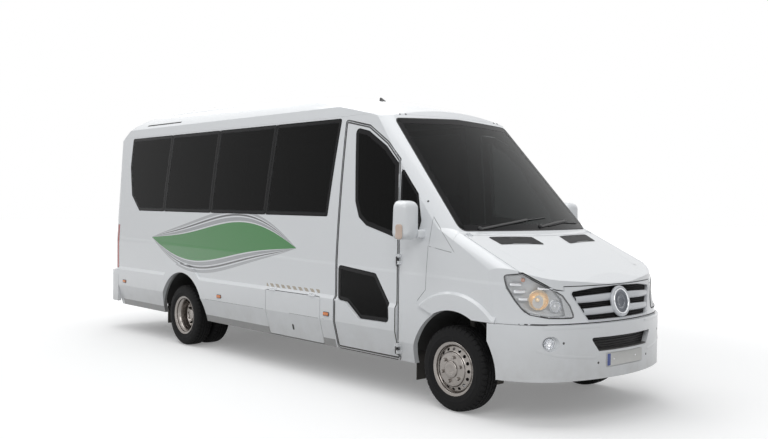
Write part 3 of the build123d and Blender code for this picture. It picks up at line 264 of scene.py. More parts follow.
def swage_height(tree):
    """height in metres of the rolled line that runs along the sides below the windows"""
    swage_slope, swage_z, swage_deep, swage_foot, swage_top = -0.019, 1.1439, 0.0045, -0.022, 0.012
    _, at_x, _, at_z = place_on_bus(tree)
    above = calculate(tree, "SUBTRACT", at_z, calculate(tree, "MULTIPLY_ADD", at_x, swage_slope, swage_z))
    return calculate(tree, "MULTIPLY", soft_range(tree, above, swage_foot, swage_top), swage_deep)


def plain_white(tree, colour):
    return colour, swage_height(tree)


def band(tree, value, low, high, edge=0.004):
    """1 between low and high, with soft edges"""
    return calculate(tree, "SUBTRACT", soft_range(tree, value, high - edge, high),
                     soft_range(tree, value, low - edge, low))


WHITE = (0.80, 0.82, 0.84)
livery_group, given, made = new_group("side_livery", (("Colour", COLOUR, (*WHITE, 1)),), (("Colour", COLOUR),))
work_out = partial(calculate, livery_group)
_, at_x, at_y, at_z = place_on_bus(livery_group)
leaf_middle, leaf_half, wave_pitch, wave_height, leaf_z = -0.95, 1.50, 2.1, 0.075, 1.235
along = work_out("SUBTRACT", at_x, leaf_middle)
leaf_reach = work_out("DIVIDE", along, leaf_half)
taper = work_out("MAXIMUM", work_out("SUBTRACT", 1.0, work_out("MULTIPLY", leaf_reach, leaf_reach)), 0.001)
spine = work_out("MULTIPLY_ADD", work_out("SINE", work_out("MULTIPLY", along, wave_pitch)), wave_height, leaf_z)
off_spine = work_out("DIVIDE", work_out("ABSOLUTE", work_out("SUBTRACT", at_z, spine)), taper)
inside_ends = work_out("LESS_THAN", work_out("ABSOLUTE", leaf_reach), 1.0)
artwork = given["Colour"]
leaf_table = (
    # how far from the spine a colour starts and ends, in metres at the leaf's middle
    (-1.0, 0.190, (0.017, 0.215, 0.030, 1)),
    (0.205, 0.248, (0.40, 0.41, 0.43, 1)),
    (0.264, 0.284, (0.10, 0.10, 0.11, 1)),
    (0.300, 0.335, (0.48, 0.49, 0.51, 1)),
)
for low, high, tint in leaf_table:
    here = work_out("MULTIPLY", band(livery_group, off_spine, low, high), inside_ends)
    artwork = blend_colours(livery_group, here, artwork, tint)
# slanted warning stripes over the luggage flap, on the right side only
stripes_per_metre, stripe_share = 10.4, 0.56
stripe_phase = work_out("FRACT", work_out("MULTIPLY", work_out("ADD", at_x, at_z), stripes_per_metre))
stripe_box = work_out("MULTIPLY", band(livery_group, at_z, 0.824, 0.858, 0.001),
                      band(livery_group, at_x, 0.05, 0.94, 0.002))
stripes = work_out("MULTIPLY", stripe_box, work_out("LESS_THAN", stripe_phase, stripe_share))
stripes = work_out("MULTIPLY", stripes, work_out("LESS_THAN", at_y, 0.0))
artwork = blend_colours(livery_group, stripes, artwork, (0.44, 0.38, 0.30, 1))
# the walls' inner faces are covered in grey trim board; the walls lean in above the waist
waist_z, wall_lean, mid_wall_y = 1.3, -0.1, 0.945
above_waist = work_out("MAXIMUM", work_out("SUBTRACT", at_z, waist_z), 0.0)
mid_wall = work_out("MULTIPLY_ADD", above_waist, wall_lean, mid_wall_y)
inner_face = work_out("LESS_THAN", work_out("ABSOLUTE", at_y), mid_wall)
in_cabin = work_out("MULTIPLY", inner_face, band(livery_group, at_x, -3.25, 1.15, 0.002))
set_sockets(livery_group, made, Colour=blend_colours(livery_group, in_cabin, artwork, (0.27, 0.275, 0.28, 1)))


def with_livery(tree, colour):
    return place_group(tree, livery_group, Colour=colour)["Colour"], swage_height(tree)


LACQUER = dict(grain=900, bump=0.02, top=0.85, Coat_Weight=0.5, Coat_Roughness=0.06)
# the lacquers' film is partly road dirt and partly painted shade: it darkens and warms the lower panels, most of all
# the bumpers in nose_lacquer where they curve under away from the light
white_lacquer = finish_of("white_lacquer", WHITE, 0.26, film=0.65, paint=plain_white, **LACQUER)
side_lacquer = finish_of("side_lacquer", WHITE, 0.26, film=0.65, paint=with_livery, **LACQUER)
nose_lacquer = finish_of("nose_lacquer", WHITE, 0.26, "white_paint", film=0.8, **LACQUER)


def repaint(material, *names):
    """gives whole CAD nodes a finished material"""
    for name in names:
        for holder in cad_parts[name].material_slots:
            holder.material = material


repaint(side_lacquer, "side_wall_right", "side_wall_left")
repaint(white_lacquer, "entry_door", "driver_door", "cab_front", "wing_right", "wing_left", "luggage_flap")
repaint(nose_lacquer, "bonnet", "nose_panel", "front_bumper", "rear_bumper", "roof", "rear_door_right",
        "rear_door_left", "roof_unit", "mirror_right", "mirror_left")

# ---------------------------------------------------------------- lines and strips on the skin
# Rubber strips, sealant lines and printed borders follow the body's surface, so each is laid on
# the panels that carry it and lifted by its own thickness.
black_rubber = finish_of("black_rubber", (0.012, 0.012, 0.013), 0.55, "black_rubber", grain=1500, bump=0.12, film=0.25)
shut_line = finish_of("shut_line", (0.02, 0.02, 0.022), 0.8, "black_plastic", grain=900, film=0.1)


def surface_of(*names):
    """the joined surface of some CAD nodes, for laying things on"""
    points, faces = [], []
    for name in names:
        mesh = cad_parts[name].data
        start = len(points)
        points += [vertex.co.copy() for vertex in mesh.vertices]
        faces += [[start + index for index in polygon.vertices] for polygon in mesh.polygons]
    return BVHTree.FromPolygons(points, faces)


skin = surface_of("cab_front", "side_wall_right", "side_wall_left", "entry_door", "driver_door", "wing_right",
                  "wing_left", "luggage_flap", "bonnet", "nose_panel", "front_bumper", "rear_bumper", "roof",
                  "rear_door_right", "rear_door_left", "windscreen", "entry_door_glass", "driver_door_glass",
                  "side_windows_right", "side_windows_left", "rear_window_right", "rear_window_left", "front_lamps",
                  "tail_lamps", "grille")


def layer(start_of, way, surface=skin):
    """a function that looks along a way from the place (a, b) and gives the first point it meets,
    lifted back by lift, or None"""
    way = Vector(way)

    def laid(a, b, lift=0.0):
        hit = surface.ray_cast(Vector(start_of(a, b)), way)[0]
        return None if hit is None else hit - way * lift
    return laid


lay_right = layer(lambda a, b: (a, -1.6, b), (0, 1, 0))
lay_left = layer(lambda a, b: (a, 1.6, b), (0, -1, 0))
lay_front = layer(lambda a, b: (5.0, a, b), (-1, 0, 0))
lay_rear = layer(lambda a, b: (-5.0, a, b), (1, 0, 0))
FROM_ABOVE = (lambda a, b: (a, b, 4.0), (0, 0, -1))
lay_top = layer(*FROM_ABOVE)
LAID = {"right": lay_right, "left": lay_left}


def spaced(points, closed, gap=0.03):
    """the same line with points no more than gap apart"""
    result = []
    points = [Vector(point) for point in points]
    for start, end in zip(points, points[1:] + (points[:1] if closed else [])):
        parts = max(1, math.ceil((end - start).length / gap))
        result += [start.lerp(end, part / parts) for part in range(parts)]
    return result if closed else result + points[-1:]


def new_mesh(name, shape, material=None):
    """a smooth mesh of (points, faces)"""
    mesh = bpy.data.meshes.new(name)
    mesh.from_pydata([tuple(point) for point in shape[0]], [], shape[1])
    mesh.validate()
    mesh.shade_smooth()
    if material:
        mesh.materials.append(material)
    return mesh


def new_piece(name, shape, material, body="body", angle=35.0, slot=None, stands_for=None):
    """a mesh piece that rides on a body, with edges sharper than angle kept sharp"""
    mesh = new_mesh(name, shape, material)
    mesh.set_sharp_from_angle(angle=math.radians(angle))
    piece = new_object(name, mesh)
    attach(piece, body)
    slot or slot_of[material.name]
    if stands_for:
        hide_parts(stands_for)
    return piece


def strip(name, line, width, lift, laid, material, body="body", closed=False, shift=0.0, gap=0.03, slot=None,
          crown=0.0):
    """a flat or crowned strip of some width along a line; shift moves it to the line's left"""
    track = spaced(line, closed, gap)
    rows = []
    across = (-0.5, 0.0, 0.5) if crown else (-0.5, 0.5)
    for index, point in enumerate(track):
        before = track[index - 1] if closed or index else track[0]
        after = track[(index + 1) % len(track)] if closed or index < len(track) - 1 else track[-1]
        way = (after - before).normalized()
        spots = [point + Vector((-way.y, way.x)) * (shift + width * part) for part in across]
        rows.append([laid(*spot, lift + (crown if part == 0 else 0.0)) for spot, part in zip(spots, across)])
    points, faces, last = [], [], None
    for index in range(len(rows) + (1 if closed else 0)):
        row = rows[index % len(rows)]
        if None in row:
            last = None
            continue
        wrapped = index == len(rows)
        here = 0 if wrapped else len(points)
        points += [] if wrapped else row
        if last is not None:
            faces += [(last + k, last + k + 1, here + k + 1, here + k) for k in range(len(across) - 1)]
        last = here
    return new_piece(name, (points, faces), material, body, slot=slot)


front_axle = 2.6685


def side_points(*pairs):
    """outline points from (distance behind the front axle, height) in millimetres"""
    return [(front_axle - distance / 1000, height / 1000) for distance, height in pairs]


seam_table = (
    # name, width in mm, points
    ("pillar", 3.0, ((288, 1336), (285, 1300), (302, 970), (419, 851))),
    ("wing_top", 2.5, ((-15, 1300), (250, 1581))),
    ("corner_trim", 2.5, ((245, 1581), (280, 1336), (15, 1295))),
    ("trim_mid_a", 2.0, ((2200, 588), (1640, 588))),
    ("trim_mid_b", 2.0, ((3800, 586), (2640, 588))),
    ("rear_corner", 3.0, ((5990, 776), (5982, 560), (5975, 372))),
    ("bumper_top", 4.0, ((-255, 774), (-520, 774), (-800, 774))),
)
for name, width, points in seam_table:
    for label, laid in LAID.items():
        strip(f"seam_{name}_{label}", side_points(*points), width / 1000, 0.0004, laid, shut_line)
strip("seam_bumper_top_front", [(-0.9, 0.7805), (0.9, 0.7805)], 0.008, 0.0006, lay_front, shut_line)

# ---------------------------------------------------------------- chassis and running gear
# Welded rails, cast suspension parts, engine and pressed boxes under the floor, dipped black or
# left as cast and bolted up from below.  Road dirt lies thickest here.
chassis_black = finish_of("chassis_black", (0.016, 0.016, 0.017), 0.5, grain=260, bump=0.15, film=0.55, scale=7)
cast_iron = finish_of("cast_iron", (0.085, 0.08, 0.075), 0.62, grain=420, bump=0.5, film=0.5, Metallic=0.7)
exhaust_steel = finish_of("exhaust_steel", (0.33, 0.30, 0.27), 0.42, grain=150, bump=0.1, film=0.6,
                          film_colour=(0.16, 0.09, 0.05), Metallic=0.9)
liner_felt = finish_of("liner_felt", (0.008, 0.008, 0.008), 0.9, grain=650, bump=0.6, film=0.15, top=0.7)
flap_rubber = finish_of("flap_rubber", (0.012, 0.012, 0.012), 0.6, grain=500, bump=0.2, film=0.35, stretch=(1, 6, 0.2))
repaint(chassis_black, "chassis_rails", "fuel_tank")
repaint(cast_iron, "front_subframe", "rear_suspension", "engine", "knuckle_right", "knuckle_left")
repaint(exhaust_steel, "exhaust")
repaint(liner_felt, "wheel_boxes_front", "wheel_boxes_rear")
repaint(flap_rubber, "mudflaps")

# ---------------------------------------------------------------- tyres
# Steel-belted van tyres, moulded in black rubber: five ribs between four grooves, cut across at
# the shoulders, with rings on the side walls.  Each is seated on its rim by its own air.
tyre_rubber = finish_of("tyre_rubber", (0.006, 0.006, 0.0065), 0.7, "tyre_rubber", grain=900, bump=0.2, film=0.14,
                        top=1.1, scale=16, film_colour=(0.04, 0.038, 0.035), Specular_IOR_Level=0.22)
half_section = (
    # radius, distance from the tyre's middle
    (0.2035, 0.0760), (0.2120, 0.0830), (0.2200, 0.0865), (0.2255, 0.0905), (0.2275, 0.0928), (0.2320, 0.0940),
    (0.2345, 0.0945), (0.2360, 0.0960), (0.2550, 0.1000), (0.2615, 0.1010), (0.2640, 0.1023), (0.2720, 0.1024),
    (0.2740, 0.1014), (0.2900, 0.1012), (0.3030, 0.0990), (0.3045, 0.0997), (0.3090, 0.0986), (0.3105, 0.0968),
    (0.3200, 0.0935), (0.3300, 0.0880), (0.3375, 0.0815), (0.3430, 0.0745), (0.3462, 0.0665), (0.3472, 0.0560),
    (0.3405, 0.0545), (0.3405, 0.0475), (0.3484, 0.0460), (0.3494, 0.0215), (0.3420, 0.0200), (0.3420, 0.0125),
    (0.3499, 0.0110),
)
tyre_section = half_section + tuple((radius, -out) for radius, out in reversed(half_section))
pitches = 44
pitch_stations = (
    # part of a pitch, 1 where the shoulder is cut, 1 where the ribs are
    (0.0, 0, 0), (0.05, 1, 0), (0.22, 1, 0), (0.27, 0, 0), (0.55, 0, 0), (0.58, 0, 1), (0.64, 0, 1), (0.67, 0, 0),
)
shoulder_out, shoulder_radius, shoulder_deep = 0.055, 0.325, 0.0065
rib_inner, rib_outer, rib_radius, sipe_deep = 0.021, 0.047, 0.345, 0.005
rear_axle, wheel_height, tyre_half_track, twin_outer_half, twin_gap = -1.6565, 0.350, 0.855, 0.870, 0.235
SIDES = (("right", -1), ("left", 1))


def grid_faces(rows, count, closed=True, start=0):
    """quads between rows of count points; closed joins each row's last point to its first"""
    faces = []
    for first in range(start, start + (rows - 1) * count, count):
        for k in range(count if closed else count - 1):
            a, b = first + k, first + (k + 1) % count
            faces.append((a, b, b + count, a + count))
    return faces


def tyre_shape(centre, side):
    """points and faces of one tyre about its axle, with shoulder cuts and fine cuts in the ribs"""
    points = []
    for pitch in range(pitches):
        for part, shoulder, sipe in pitch_stations:
            angle = 2 * math.pi * (pitch + part) / pitches
            for radius, out in tyre_section:
                if abs(out) >= shoulder_out and radius > shoulder_radius:
                    radius -= shoulder_deep * shoulder
                elif rib_inner < abs(out) < rib_outer and radius > rib_radius:
                    radius -= sipe_deep * sipe
                points.append(centre + Vector((radius * math.cos(angle), side * out, radius * math.sin(angle))))
    faces = grid_faces(pitches * len(pitch_stations) + 1, len(tyre_section), False)
    return points, [tuple(index % len(points) for index in face) for face in faces]


def joined(*shapes):
    """several (points, faces) as one"""
    points, faces = [], []
    for some_points, some_faces in shapes:
        start = len(points)
        points += some_points
        faces += [tuple(start + index for index in face) for face in some_faces]
    return points, faces


for name, side in SIDES:
    front = tyre_shape(Vector((front_axle, side * tyre_half_track, wheel_height)), side)
    new_piece(f"tyre_tread_front_{name}", front, tyre_rubber, f"wheel_front_{name}", 28,
              stands_for=f"tyre_front_{name}")
    twins = [tyre_shape(Vector((rear_axle, side * half, wheel_height)), side)
             for half in (twin_outer_half, twin_outer_half - twin_gap)]
    new_piece(f"tyre_tread_rear_{name}", joined(*twins), tyre_rubber, f"wheels_rear_{name}", 28,
              stands_for=f"tyres_rear_{name}")

# ---------------------------------------------------------------- wheel rims and trims
# Pressed steel rims with bright stainless trims: a ring of oval hand holes round a raised plate,
# six domed nut covers and a plain hub cap.  The rear trims are deep dishes.
bright_steel = finish_of("bright_steel", (0.31, 0.29, 0.275), 0.15, "polished_steel", grain=60, bump=0.03, top=0.8,
                         scale=22, film_colour=(0.12, 0.09, 0.065), stretch=(1, 12, 1), Metallic=1.0)
FORWARD, LEFTWARD, UPWARD = Vector((1, 0, 0)), Vector((0, 1, 0)), Vector((0, 0, 1))


def turn(where, rows, count=32):
    """ovals stacked along a place's outward axis; rows are (half width, half height, height), or
    (radius, height) where they are round, and where is (origin, right, up, out)"""
    origin, right, up, out = where
    points = []
    for *halves, height in rows:
        for angle in [2 * math.pi * k / count for k in range(count)]:
            points.append(origin + right * halves[0] * math.cos(angle) + up * halves[-1] * math.sin(angle)
                          + out * height)
    return points, grid_faces(len(rows), count)


def beside(origin, side):
    """the place at an origin that faces out of one side"""
    return Vector(origin), FORWARD, UPWARD, Vector((0, side, 0))


def holed_ring(centre, side, outer, inner, holes=16, half_radial=0.0125, half_round=0.0145, lip=0.005):
    """sloping ring with oval holes whose edges are turned in; outer and inner are (radius, outboard)"""
    def spot(radius, angle, sunk=0.0):
        out = inner[1] + (outer[1] - inner[1]) * (radius - inner[0]) / (outer[0] - inner[0]) - sunk
        return centre + Vector((radius * math.cos(angle), side * out, radius * math.sin(angle)))
    points, faces = [], []
    middle, half = (outer[0] + inner[0]) / 2, math.pi / holes
    edge = [(-half + 2 * half * k / 7, outer[0]) for k in range(7)]
    edge += [(half, outer[0] + (inner[0] - outer[0]) * k / 3) for k in range(3)]
    edge += [(half - 2 * half * k / 7, inner[0]) for k in range(7)]
    edge += [(-half, inner[0] + (outer[0] - inner[0]) * k / 3) for k in range(3)]
    ways = [math.atan2((radius - middle) / half_radial, angle * middle / half_round) for angle, radius in edge]
    ovals = [(middle + half_radial * math.sin(way), half_round * math.cos(way) / middle) for way in ways]
    for hole in range(holes):
        turned_by, start = 2 * math.pi * hole / holes, len(points)
        points += [spot(radius, turned_by + angle) for angle, radius in edge]
        for sunk in (0.0, lip):
            points += [spot(radius, turned_by + angle, sunk) for radius, angle in ovals]
        faces += grid_faces(3, len(edge), start=start)
    return points, faces


# sections of the turned parts: (radius, distance outboard of the wheel's middle)
rim_section = ((0.2035, 0.0780), (0.2200, 0.0845), (0.2214, 0.0875), (0.2212, 0.0905), (0.2195, 0.0920),
               (0.2165, 0.0915), (0.2120, 0.0880), (0.2050, 0.0855), (0.1985, 0.0835), (0.1955, 0.0790),
               (0.1945, 0.0640), (0.1800, 0.0500), (0.1700, 0.0330), (0.1680, -0.0480), (0.1900, -0.0640),
               (0.1960, -0.0840), (0.2130, -0.0900), (0.2205, -0.0915))
front_dish = ((0.1870, 0.0600), (0.1868, 0.0640), (0.1840, 0.0675), (0.1800, 0.0695))
front_plate = ((0.1460, 0.0862), (0.1430, 0.0890), (0.1405, 0.0935), (0.1388, 0.0990), (0.1365, 0.1030),
               (0.1320, 0.1050), (0.1150, 0.1058), (0.0740, 0.1062), (0.0705, 0.1075), (0.0690, 0.1110),
               (0.0685, 0.1160), (0.0660, 0.1200), (0.0600, 0.1232), (0.0450, 0.1246), (0.0330, 0.1238),
               (0.0300, 0.1222), (0.0150, 0.1226), (0.0005, 0.1228))
rear_plate = ((0.1320, -0.1000), (0.1290, -0.1025), (0.1200, -0.1035), (0.0950, -0.1035), (0.0930, -0.0980),
              (0.0920, -0.0500), (0.0880, -0.0420), (0.0700, -0.0380), (0.0620, -0.0340), (0.0600, -0.0060),
              (0.0560, -0.0014), (0.0450, -0.0004), (0.0005, -0.0002))
rear_back = ((0.1680, 0.0440), (0.1400, 0.1000), (0.1100, 0.1035), (0.0620, 0.1040), (0.0005, 0.1040))
nut_section = ((0.0150, 0.000), (0.0148, 0.008), (0.0130, 0.013), (0.0126, 0.019), (0.0108, 0.0205),
               (0.0060, 0.0212), (0.0004, 0.0213))


def turned(centre, side, *sections):
    return [turn(beside(centre, side), section, 72) for section in sections]


def nuts(centre, side, circle, seat):
    """six nut covers on a circle, whose feet stand at seat outboard of the wheel's middle"""
    shapes = []
    for angle in [math.radians(60 * k + 17) for k in range(6)]:
        at = centre + Vector((circle * math.cos(angle), side * seat, circle * math.sin(angle)))
        shapes.append(turn(beside(at, side), nut_section, 14))
    return shapes


for name, side in SIDES:
    centre = Vector((front_axle, side * tyre_half_track, wheel_height))
    shapes = turned(centre, side, rim_section, front_dish)
    shapes.append(holed_ring(centre, side, (0.1800, 0.0695), (0.1460, 0.0862)))
    shapes += turned(centre, side, front_plate) + nuts(centre, side, 0.101, 0.1035)
    new_piece(f"rim_trim_front_{name}", joined(*shapes), bright_steel, f"wheel_front_{name}", 40,
              stands_for=f"rim_front_{name}")
    centre = Vector((rear_axle, side * twin_outer_half, wheel_height))
    shapes = turned(centre, side, rim_section)
    shapes.append(holed_ring(centre, side, (0.1680, -0.0480), (0.1320, -0.1000)))
    shapes += turned(centre, side, rear_plate) + nuts(centre, side, 0.1115, -0.1045)
    centre = Vector((rear_axle, side * (twin_outer_half - twin_gap), wheel_height))
    shapes += turned(centre, side, rim_section) + turned(centre, -side, rear_back)
    new_piece(f"rim_trim_rear_{name}", joined(*shapes), bright_steel, f"wheels_rear_{name}", 40,
              stands_for=f"rims_rear_{name}")

# ---------------------------------------------------------------- glazing
# Bonded panes: a lightly tinted windscreen and driver's pane, and nearly black privacy glass
# behind them.  A black band printed round each pane hides the glue.
window_print = finish_of("window_print", (0.004, 0.004, 0.005), 0.16, "black_plastic", grain=2200, bump=0.03,
                         film=0.05, top=1.6, Specular_IOR_Level=0.16)
GLASS = dict(grain=30, bump=0.0, spread=0.01, film=0.02, top=2.4, Transmission_Weight=1.0)
privacy_glass = finish_of("privacy_glass", (0.012, 0.013, 0.014), 0.02, IOR=1.16, **GLASS)
screen_glass = finish_of("screen_glass", (0.105, 0.115, 0.115), 0.02, IOR=1.2, **GLASS)
repaint(privacy_glass, "side_windows_right", "side_windows_left", "rear_window_right", "rear_window_left",
        "entry_door_glass")
repaint(screen_glass, "windscreen", "driver_door_glass")


def rounded(points, radius, steps=6):
    """closed outline with its corners rounded"""
    result = []
    count = len(points)
    for index in range(count):
        before, corner, after = (Vector(points[(index + k) % count]) for k in (-1, 0, 1))
        into, out = (before - corner), (after - corner)
        reach = min(radius / max(math.tan(into.angle(out) / 2), 0.01), into.length * 0.45, out.length * 0.45)
        start, end = corner + into.normalized() * reach, corner + out.normalized() * reach
        for t in [step / steps for step in range(steps + 1)]:
            result.append(start * (1 - t) ** 2 + corner * 2 * t * (1 - t) + end * t * t)
    return result


def edge_band(name, points, radius, width, laid, material, body="body", lift=0.0012, start=0.0, crown=0.0, slot=None,
              gap=0.03):
    """a band just inside a closed outline with rounded corners, or outside it where start is negative"""
    line = rounded(points, radius)
    area = sum(a[0] * b[1] - b[0] * a[1] for a, b in zip(line, line[1:] + line[:1]))
    shift = (start + width / 2) * (1 if area > 0 else -1)
    return strip(name, line, width, lift, laid, material, body, True, shift, gap, slot, crown)


pane_rows = (
    # name, sides laid on, body, corner radius, band width, outline, all in mm
    ("pane_1", LAID, "body", 25, 26, ((1563, 2480), (1662, 1559), (2693, 1559), (2615, 2480))),
    ("pane_2", LAID, "body", 25, 26, ((2627, 2480), (2705, 1559), (3775, 1559), (3719, 2480))),
    ("pane_3", LAID, "body", 25, 26, ((3731, 2480), (3787, 1559), (4850, 1559), (4794, 2480))),
    ("pane_4", LAID, "body", 25, 26, ((4806, 2480), (4862, 1559), (5498, 1559), (5733, 1752), (5842, 2120),
                                      (5848, 2480))),
    ("entry_upper", ("right",), "entry_door", 45, 38, ((1340, 2385), (1262, 1702), (1199, 1560), (1089, 1488),
                                                       (690, 1392), (660, 1450), (716, 2040), (890, 2195),
                                                       (1150, 2345))),
    ("entry_lower", ("right",), "entry_door", 40, 30, ((1453, 1112), (930, 1066), (740, 810), (730, 650), (1131, 646),
                                                       (1317, 780), (1453, 792))),
    ("quarter", ("right",), "body", 25, 20, ((676, 2020), (640, 1402), (425, 1405), (385, 1545), (440, 1770))),
    ("driver_side", ("left",), "driver_door", 40, 30, ((1245, 2345), (1245, 1530), (860, 1500), (700, 1405),
                                                       (410, 1405), (400, 1560), (800, 2080), (985, 2245),
                                                       (1140, 2330))),
)
for name, labels, body, radius, width, outline in pane_rows:
    for label in labels:
        edge_band(f"band_{name}_{label}", side_points(*outline), radius / 1000, width / 1000, LAID[label],
                  window_print, body, start=0.005)
for top, foot in ((2621, 2699), (3725, 3781), (4800, 4856)):
    for label, laid in LAID.items():
        strip(f"pane_joint_{top}_{label}", side_points((top, 2484), (foot, 1556)), 0.012, 0.0008, laid, window_print,
              slot="black_rubber")
screen_line = [(-0.846, 1.474), (0.846, 1.474), (0.749, 2.451), (0.0, 2.482), (-0.749, 2.451)]
edge_band("band_screen", screen_line, 0.05, 0.045, lay_front, window_print)
edge_band("seal_screen", screen_line, 0.05, 0.009, lay_front, black_rubber, start=-0.009, crown=0.002,
          slot="black_plastic")
for name, side in SIDES:
    line = [(side * 0.095, 1.56), (side * 0.70, 1.56), (side * 0.672, 2.36), (side * 0.095, 2.36)]
    edge_band(f"band_rear_{name}", line, 0.04, 0.03, lay_rear, window_print, f"rear_door_{name}")

# ---------------------------------------------------------------- door seals and fittings
# The entry door shuts on a thick hollow rubber seal.  Doors and flap carry small moulded handles
# and locks, screwed through from inside.
black_moulding = finish_of("black_moulding", (0.02, 0.02, 0.021), 0.42, "black_plastic", grain=1100, bump=0.25,
                           film=0.2, top=1.4)


def lay_beside_gap(a, b, lift, beside_by=0.015, deepest_y=-0.75):
    """lays on the right side, level with the panel beside a gap where the place falls into one"""
    for step_a, step_b in ((0, 0), (beside_by, 0), (-beside_by, 0), (0, beside_by), (0, -beside_by)):
        spot = lay_right(a + step_a, b + step_b, lift)
        if spot is not None and spot.y < deepest_y:
            return Vector((a, spot.y, b))
    return None


entry_line = side_points((1481, 346), (642, 346), (642, 1230), (708, 2066), (875, 2222), (1147, 2384), (1481, 2450))
edge_band("seal_entry_door", entry_line, 0.03, 0.013, lay_beside_gap, black_rubber, "entry_door", 0.0006, crown=0.003)
frame_line = side_points((1490, 338), (633, 338), (633, 1230), (700, 2070), (870, 2229), (1145, 2393), (1490, 2462))
edge_band("seal_entry_frame", frame_line, 0.03, 0.008, lay_beside_gap, black_rubber, lift=0.0006, start=-0.009,
          crown=0.002)


def pillow(where, width, height, radius, rows, steps=5):
    """rounded rectangle built up from rows of (inset, height above origin), closed by its last row"""
    origin, right, up, out = where
    points = []
    least, fullest = 0.0002, 0.98
    for inset, lift in rows:
        half_w, half_h = max(width / 2 - inset, least), max(height / 2 - inset, least)
        bend = min(max(radius - inset, least), half_w * fullest, half_h * fullest)
        for quarter, (sign_w, sign_h) in enumerate(((1, 1), (-1, 1), (-1, -1), (1, -1))):
            for angle in [math.pi / 2 * (quarter + step / steps) for step in range(steps + 1)]:
                a = sign_w * (half_w - bend) + bend * math.cos(angle)
                b = sign_h * (half_h - bend) + bend * math.sin(angle)
                points.append(origin + right * a + up * b + out * lift)
    count = 4 * (steps + 1)
    return points, grid_faces(len(rows), count) + [tuple(range(len(points) - count, len(points)))]


def on_skin(laid, a, b, step=0.03):
    """(origin, right, up, out) on the skin at a, b"""
    middle = laid(a, b, 0.0)
    right = (laid(a + step, b, 0.0) - laid(a - step, b, 0.0)).normalized()
    up = (laid(a, b + step, 0.0) - laid(a, b - step, 0.0)).normalized()
    out = right.cross(up).normalized()
    towards = laid(a, b, 0.1) - middle
    return middle, right, up, out if out.dot(towards) > 0 else -out


base_rows = ((0.0, 0.0), (0.001, 0.006), (0.004, 0.009), (0.010, 0.010))
grip_rows = ((0.0, 0.004), (0.0, 0.022), (0.003, 0.028), (0.009, 0.030))
handle_table = (
    # body, skin, across, height, width
    ("driver_door", lay_left, front_axle - 1.12, 1.25, 0.17),
    ("rear_door_right", lay_rear, -0.10, 1.30, 0.13),
    ("rear_door_left", lay_rear, 0.10, 1.20, 0.08),
)
for body, laid, a, b, width in handle_table:
    where = on_skin(laid, a, b)
    new_piece(f"handle_{body}", joined(pillow(where, width + 0.03, 0.075, 0.02, base_rows),
                                       pillow(where, width, 0.026, 0.012, grip_rows)), black_moulding, body)
where = on_skin(lay_right, front_axle - 2.168, 0.452)
keyhole = turn(where, ((0.006, 0.003), (0.006, 0.006), (0.0003, 0.006)), 16)
new_piece("flap_lock", joined(pillow(where, 0.026, 0.060, 0.012, ((0.0, 0.0), (0.001, 0.003), (0.004, 0.005),
                                                                  (0.006, 0.003))), keyhole),
          black_moulding, "luggage_flap")

# ---------------------------------------------------------------- radiator grille
# A moulded frame with two broad pale bars over a black honeycomb screen, clipped into the nose
# panel.  A round boss with a plain bright ring stands in its middle.
pale_lacquer = finish_of("pale_lacquer", (0.66, 0.68, 0.71), 0.24, "pale_plastic", grain=900, bump=0.02, film=0.1,
                         Coat_Weight=0.4, Coat_Roughness=0.08)
bright_trim = finish_of("bright_trim", (0.72, 0.73, 0.75), 0.12, "polished_steel", grain=500, bump=0.01, film=0.06,
                        top=1.4, Metallic=1.0)
mesh_black = finish_of("mesh_black", (0.010, 0.010, 0.011), 0.5, "black_plastic", grain=800, bump=0.1, film=0.12)
dark_enamel = finish_of("dark_enamel", (0.075, 0.085, 0.105), 0.2, "black_plastic", grain=400, bump=0.03, film=0.08,
                        Metallic=0.6, Coat_Weight=0.6)
panel_skin = surface_of("nose_panel", "bonnet")
lay_panel = layer(lambda a, b: (5.0, a, b), (-1, 0, 0), panel_skin)
above_grille, below_grille = 1.085, 0.788


def nose_x(y, z):
    """how far forward the nose's surface is across the grille opening"""
    above, below = lay_panel(y, above_grille).x, lay_panel(y, below_grille).x
    return below + (above - below) * ((z - below_grille) / (above_grille - below_grille))


def grille_half(z):
    """half the width of the opening, which widens from its foot upwards"""
    return 0.405 + (0.545 - 0.405) * (z - 0.800) / 0.220


bar_rows = (
    # middle at the centre, middle at the ends, half height at the centre, half height at the ends
    (0.966, 0.956, 0.031, 0.026),
    (0.868, 0.862, 0.029, 0.026),
)
bar_section = [(math.cos(math.pi * k / 10), math.sin(math.pi * k / 10)) for k in range(11)]
bar_deep, bar_sunk, bar_back, columns = 0.022, 0.020, 0.034, 40
bars = []
for centre_z, end_z, centre_half, end_half in bar_rows:
    points = []
    for across in [-1 + 2 * column / columns for column in range(columns + 1)]:
        mid = centre_z + (end_z - centre_z) * across * across
        half = centre_half + (end_half - centre_half) * across * across
        y = across * (grille_half(mid) - 0.004)
        x = nose_x(y, mid)
        points += [Vector((x - bar_sunk + bar_deep * bulge ** 0.6, y, mid + half * rise))
                   for rise, bulge in bar_section]
        points.append(Vector((x - bar_back, y, mid)))
    bars.append((points, grid_faces(columns + 1, len(bar_section) + 1)))
new_piece("grille_bars", joined(*bars), pale_lacquer, angle=50, stands_for="grille")

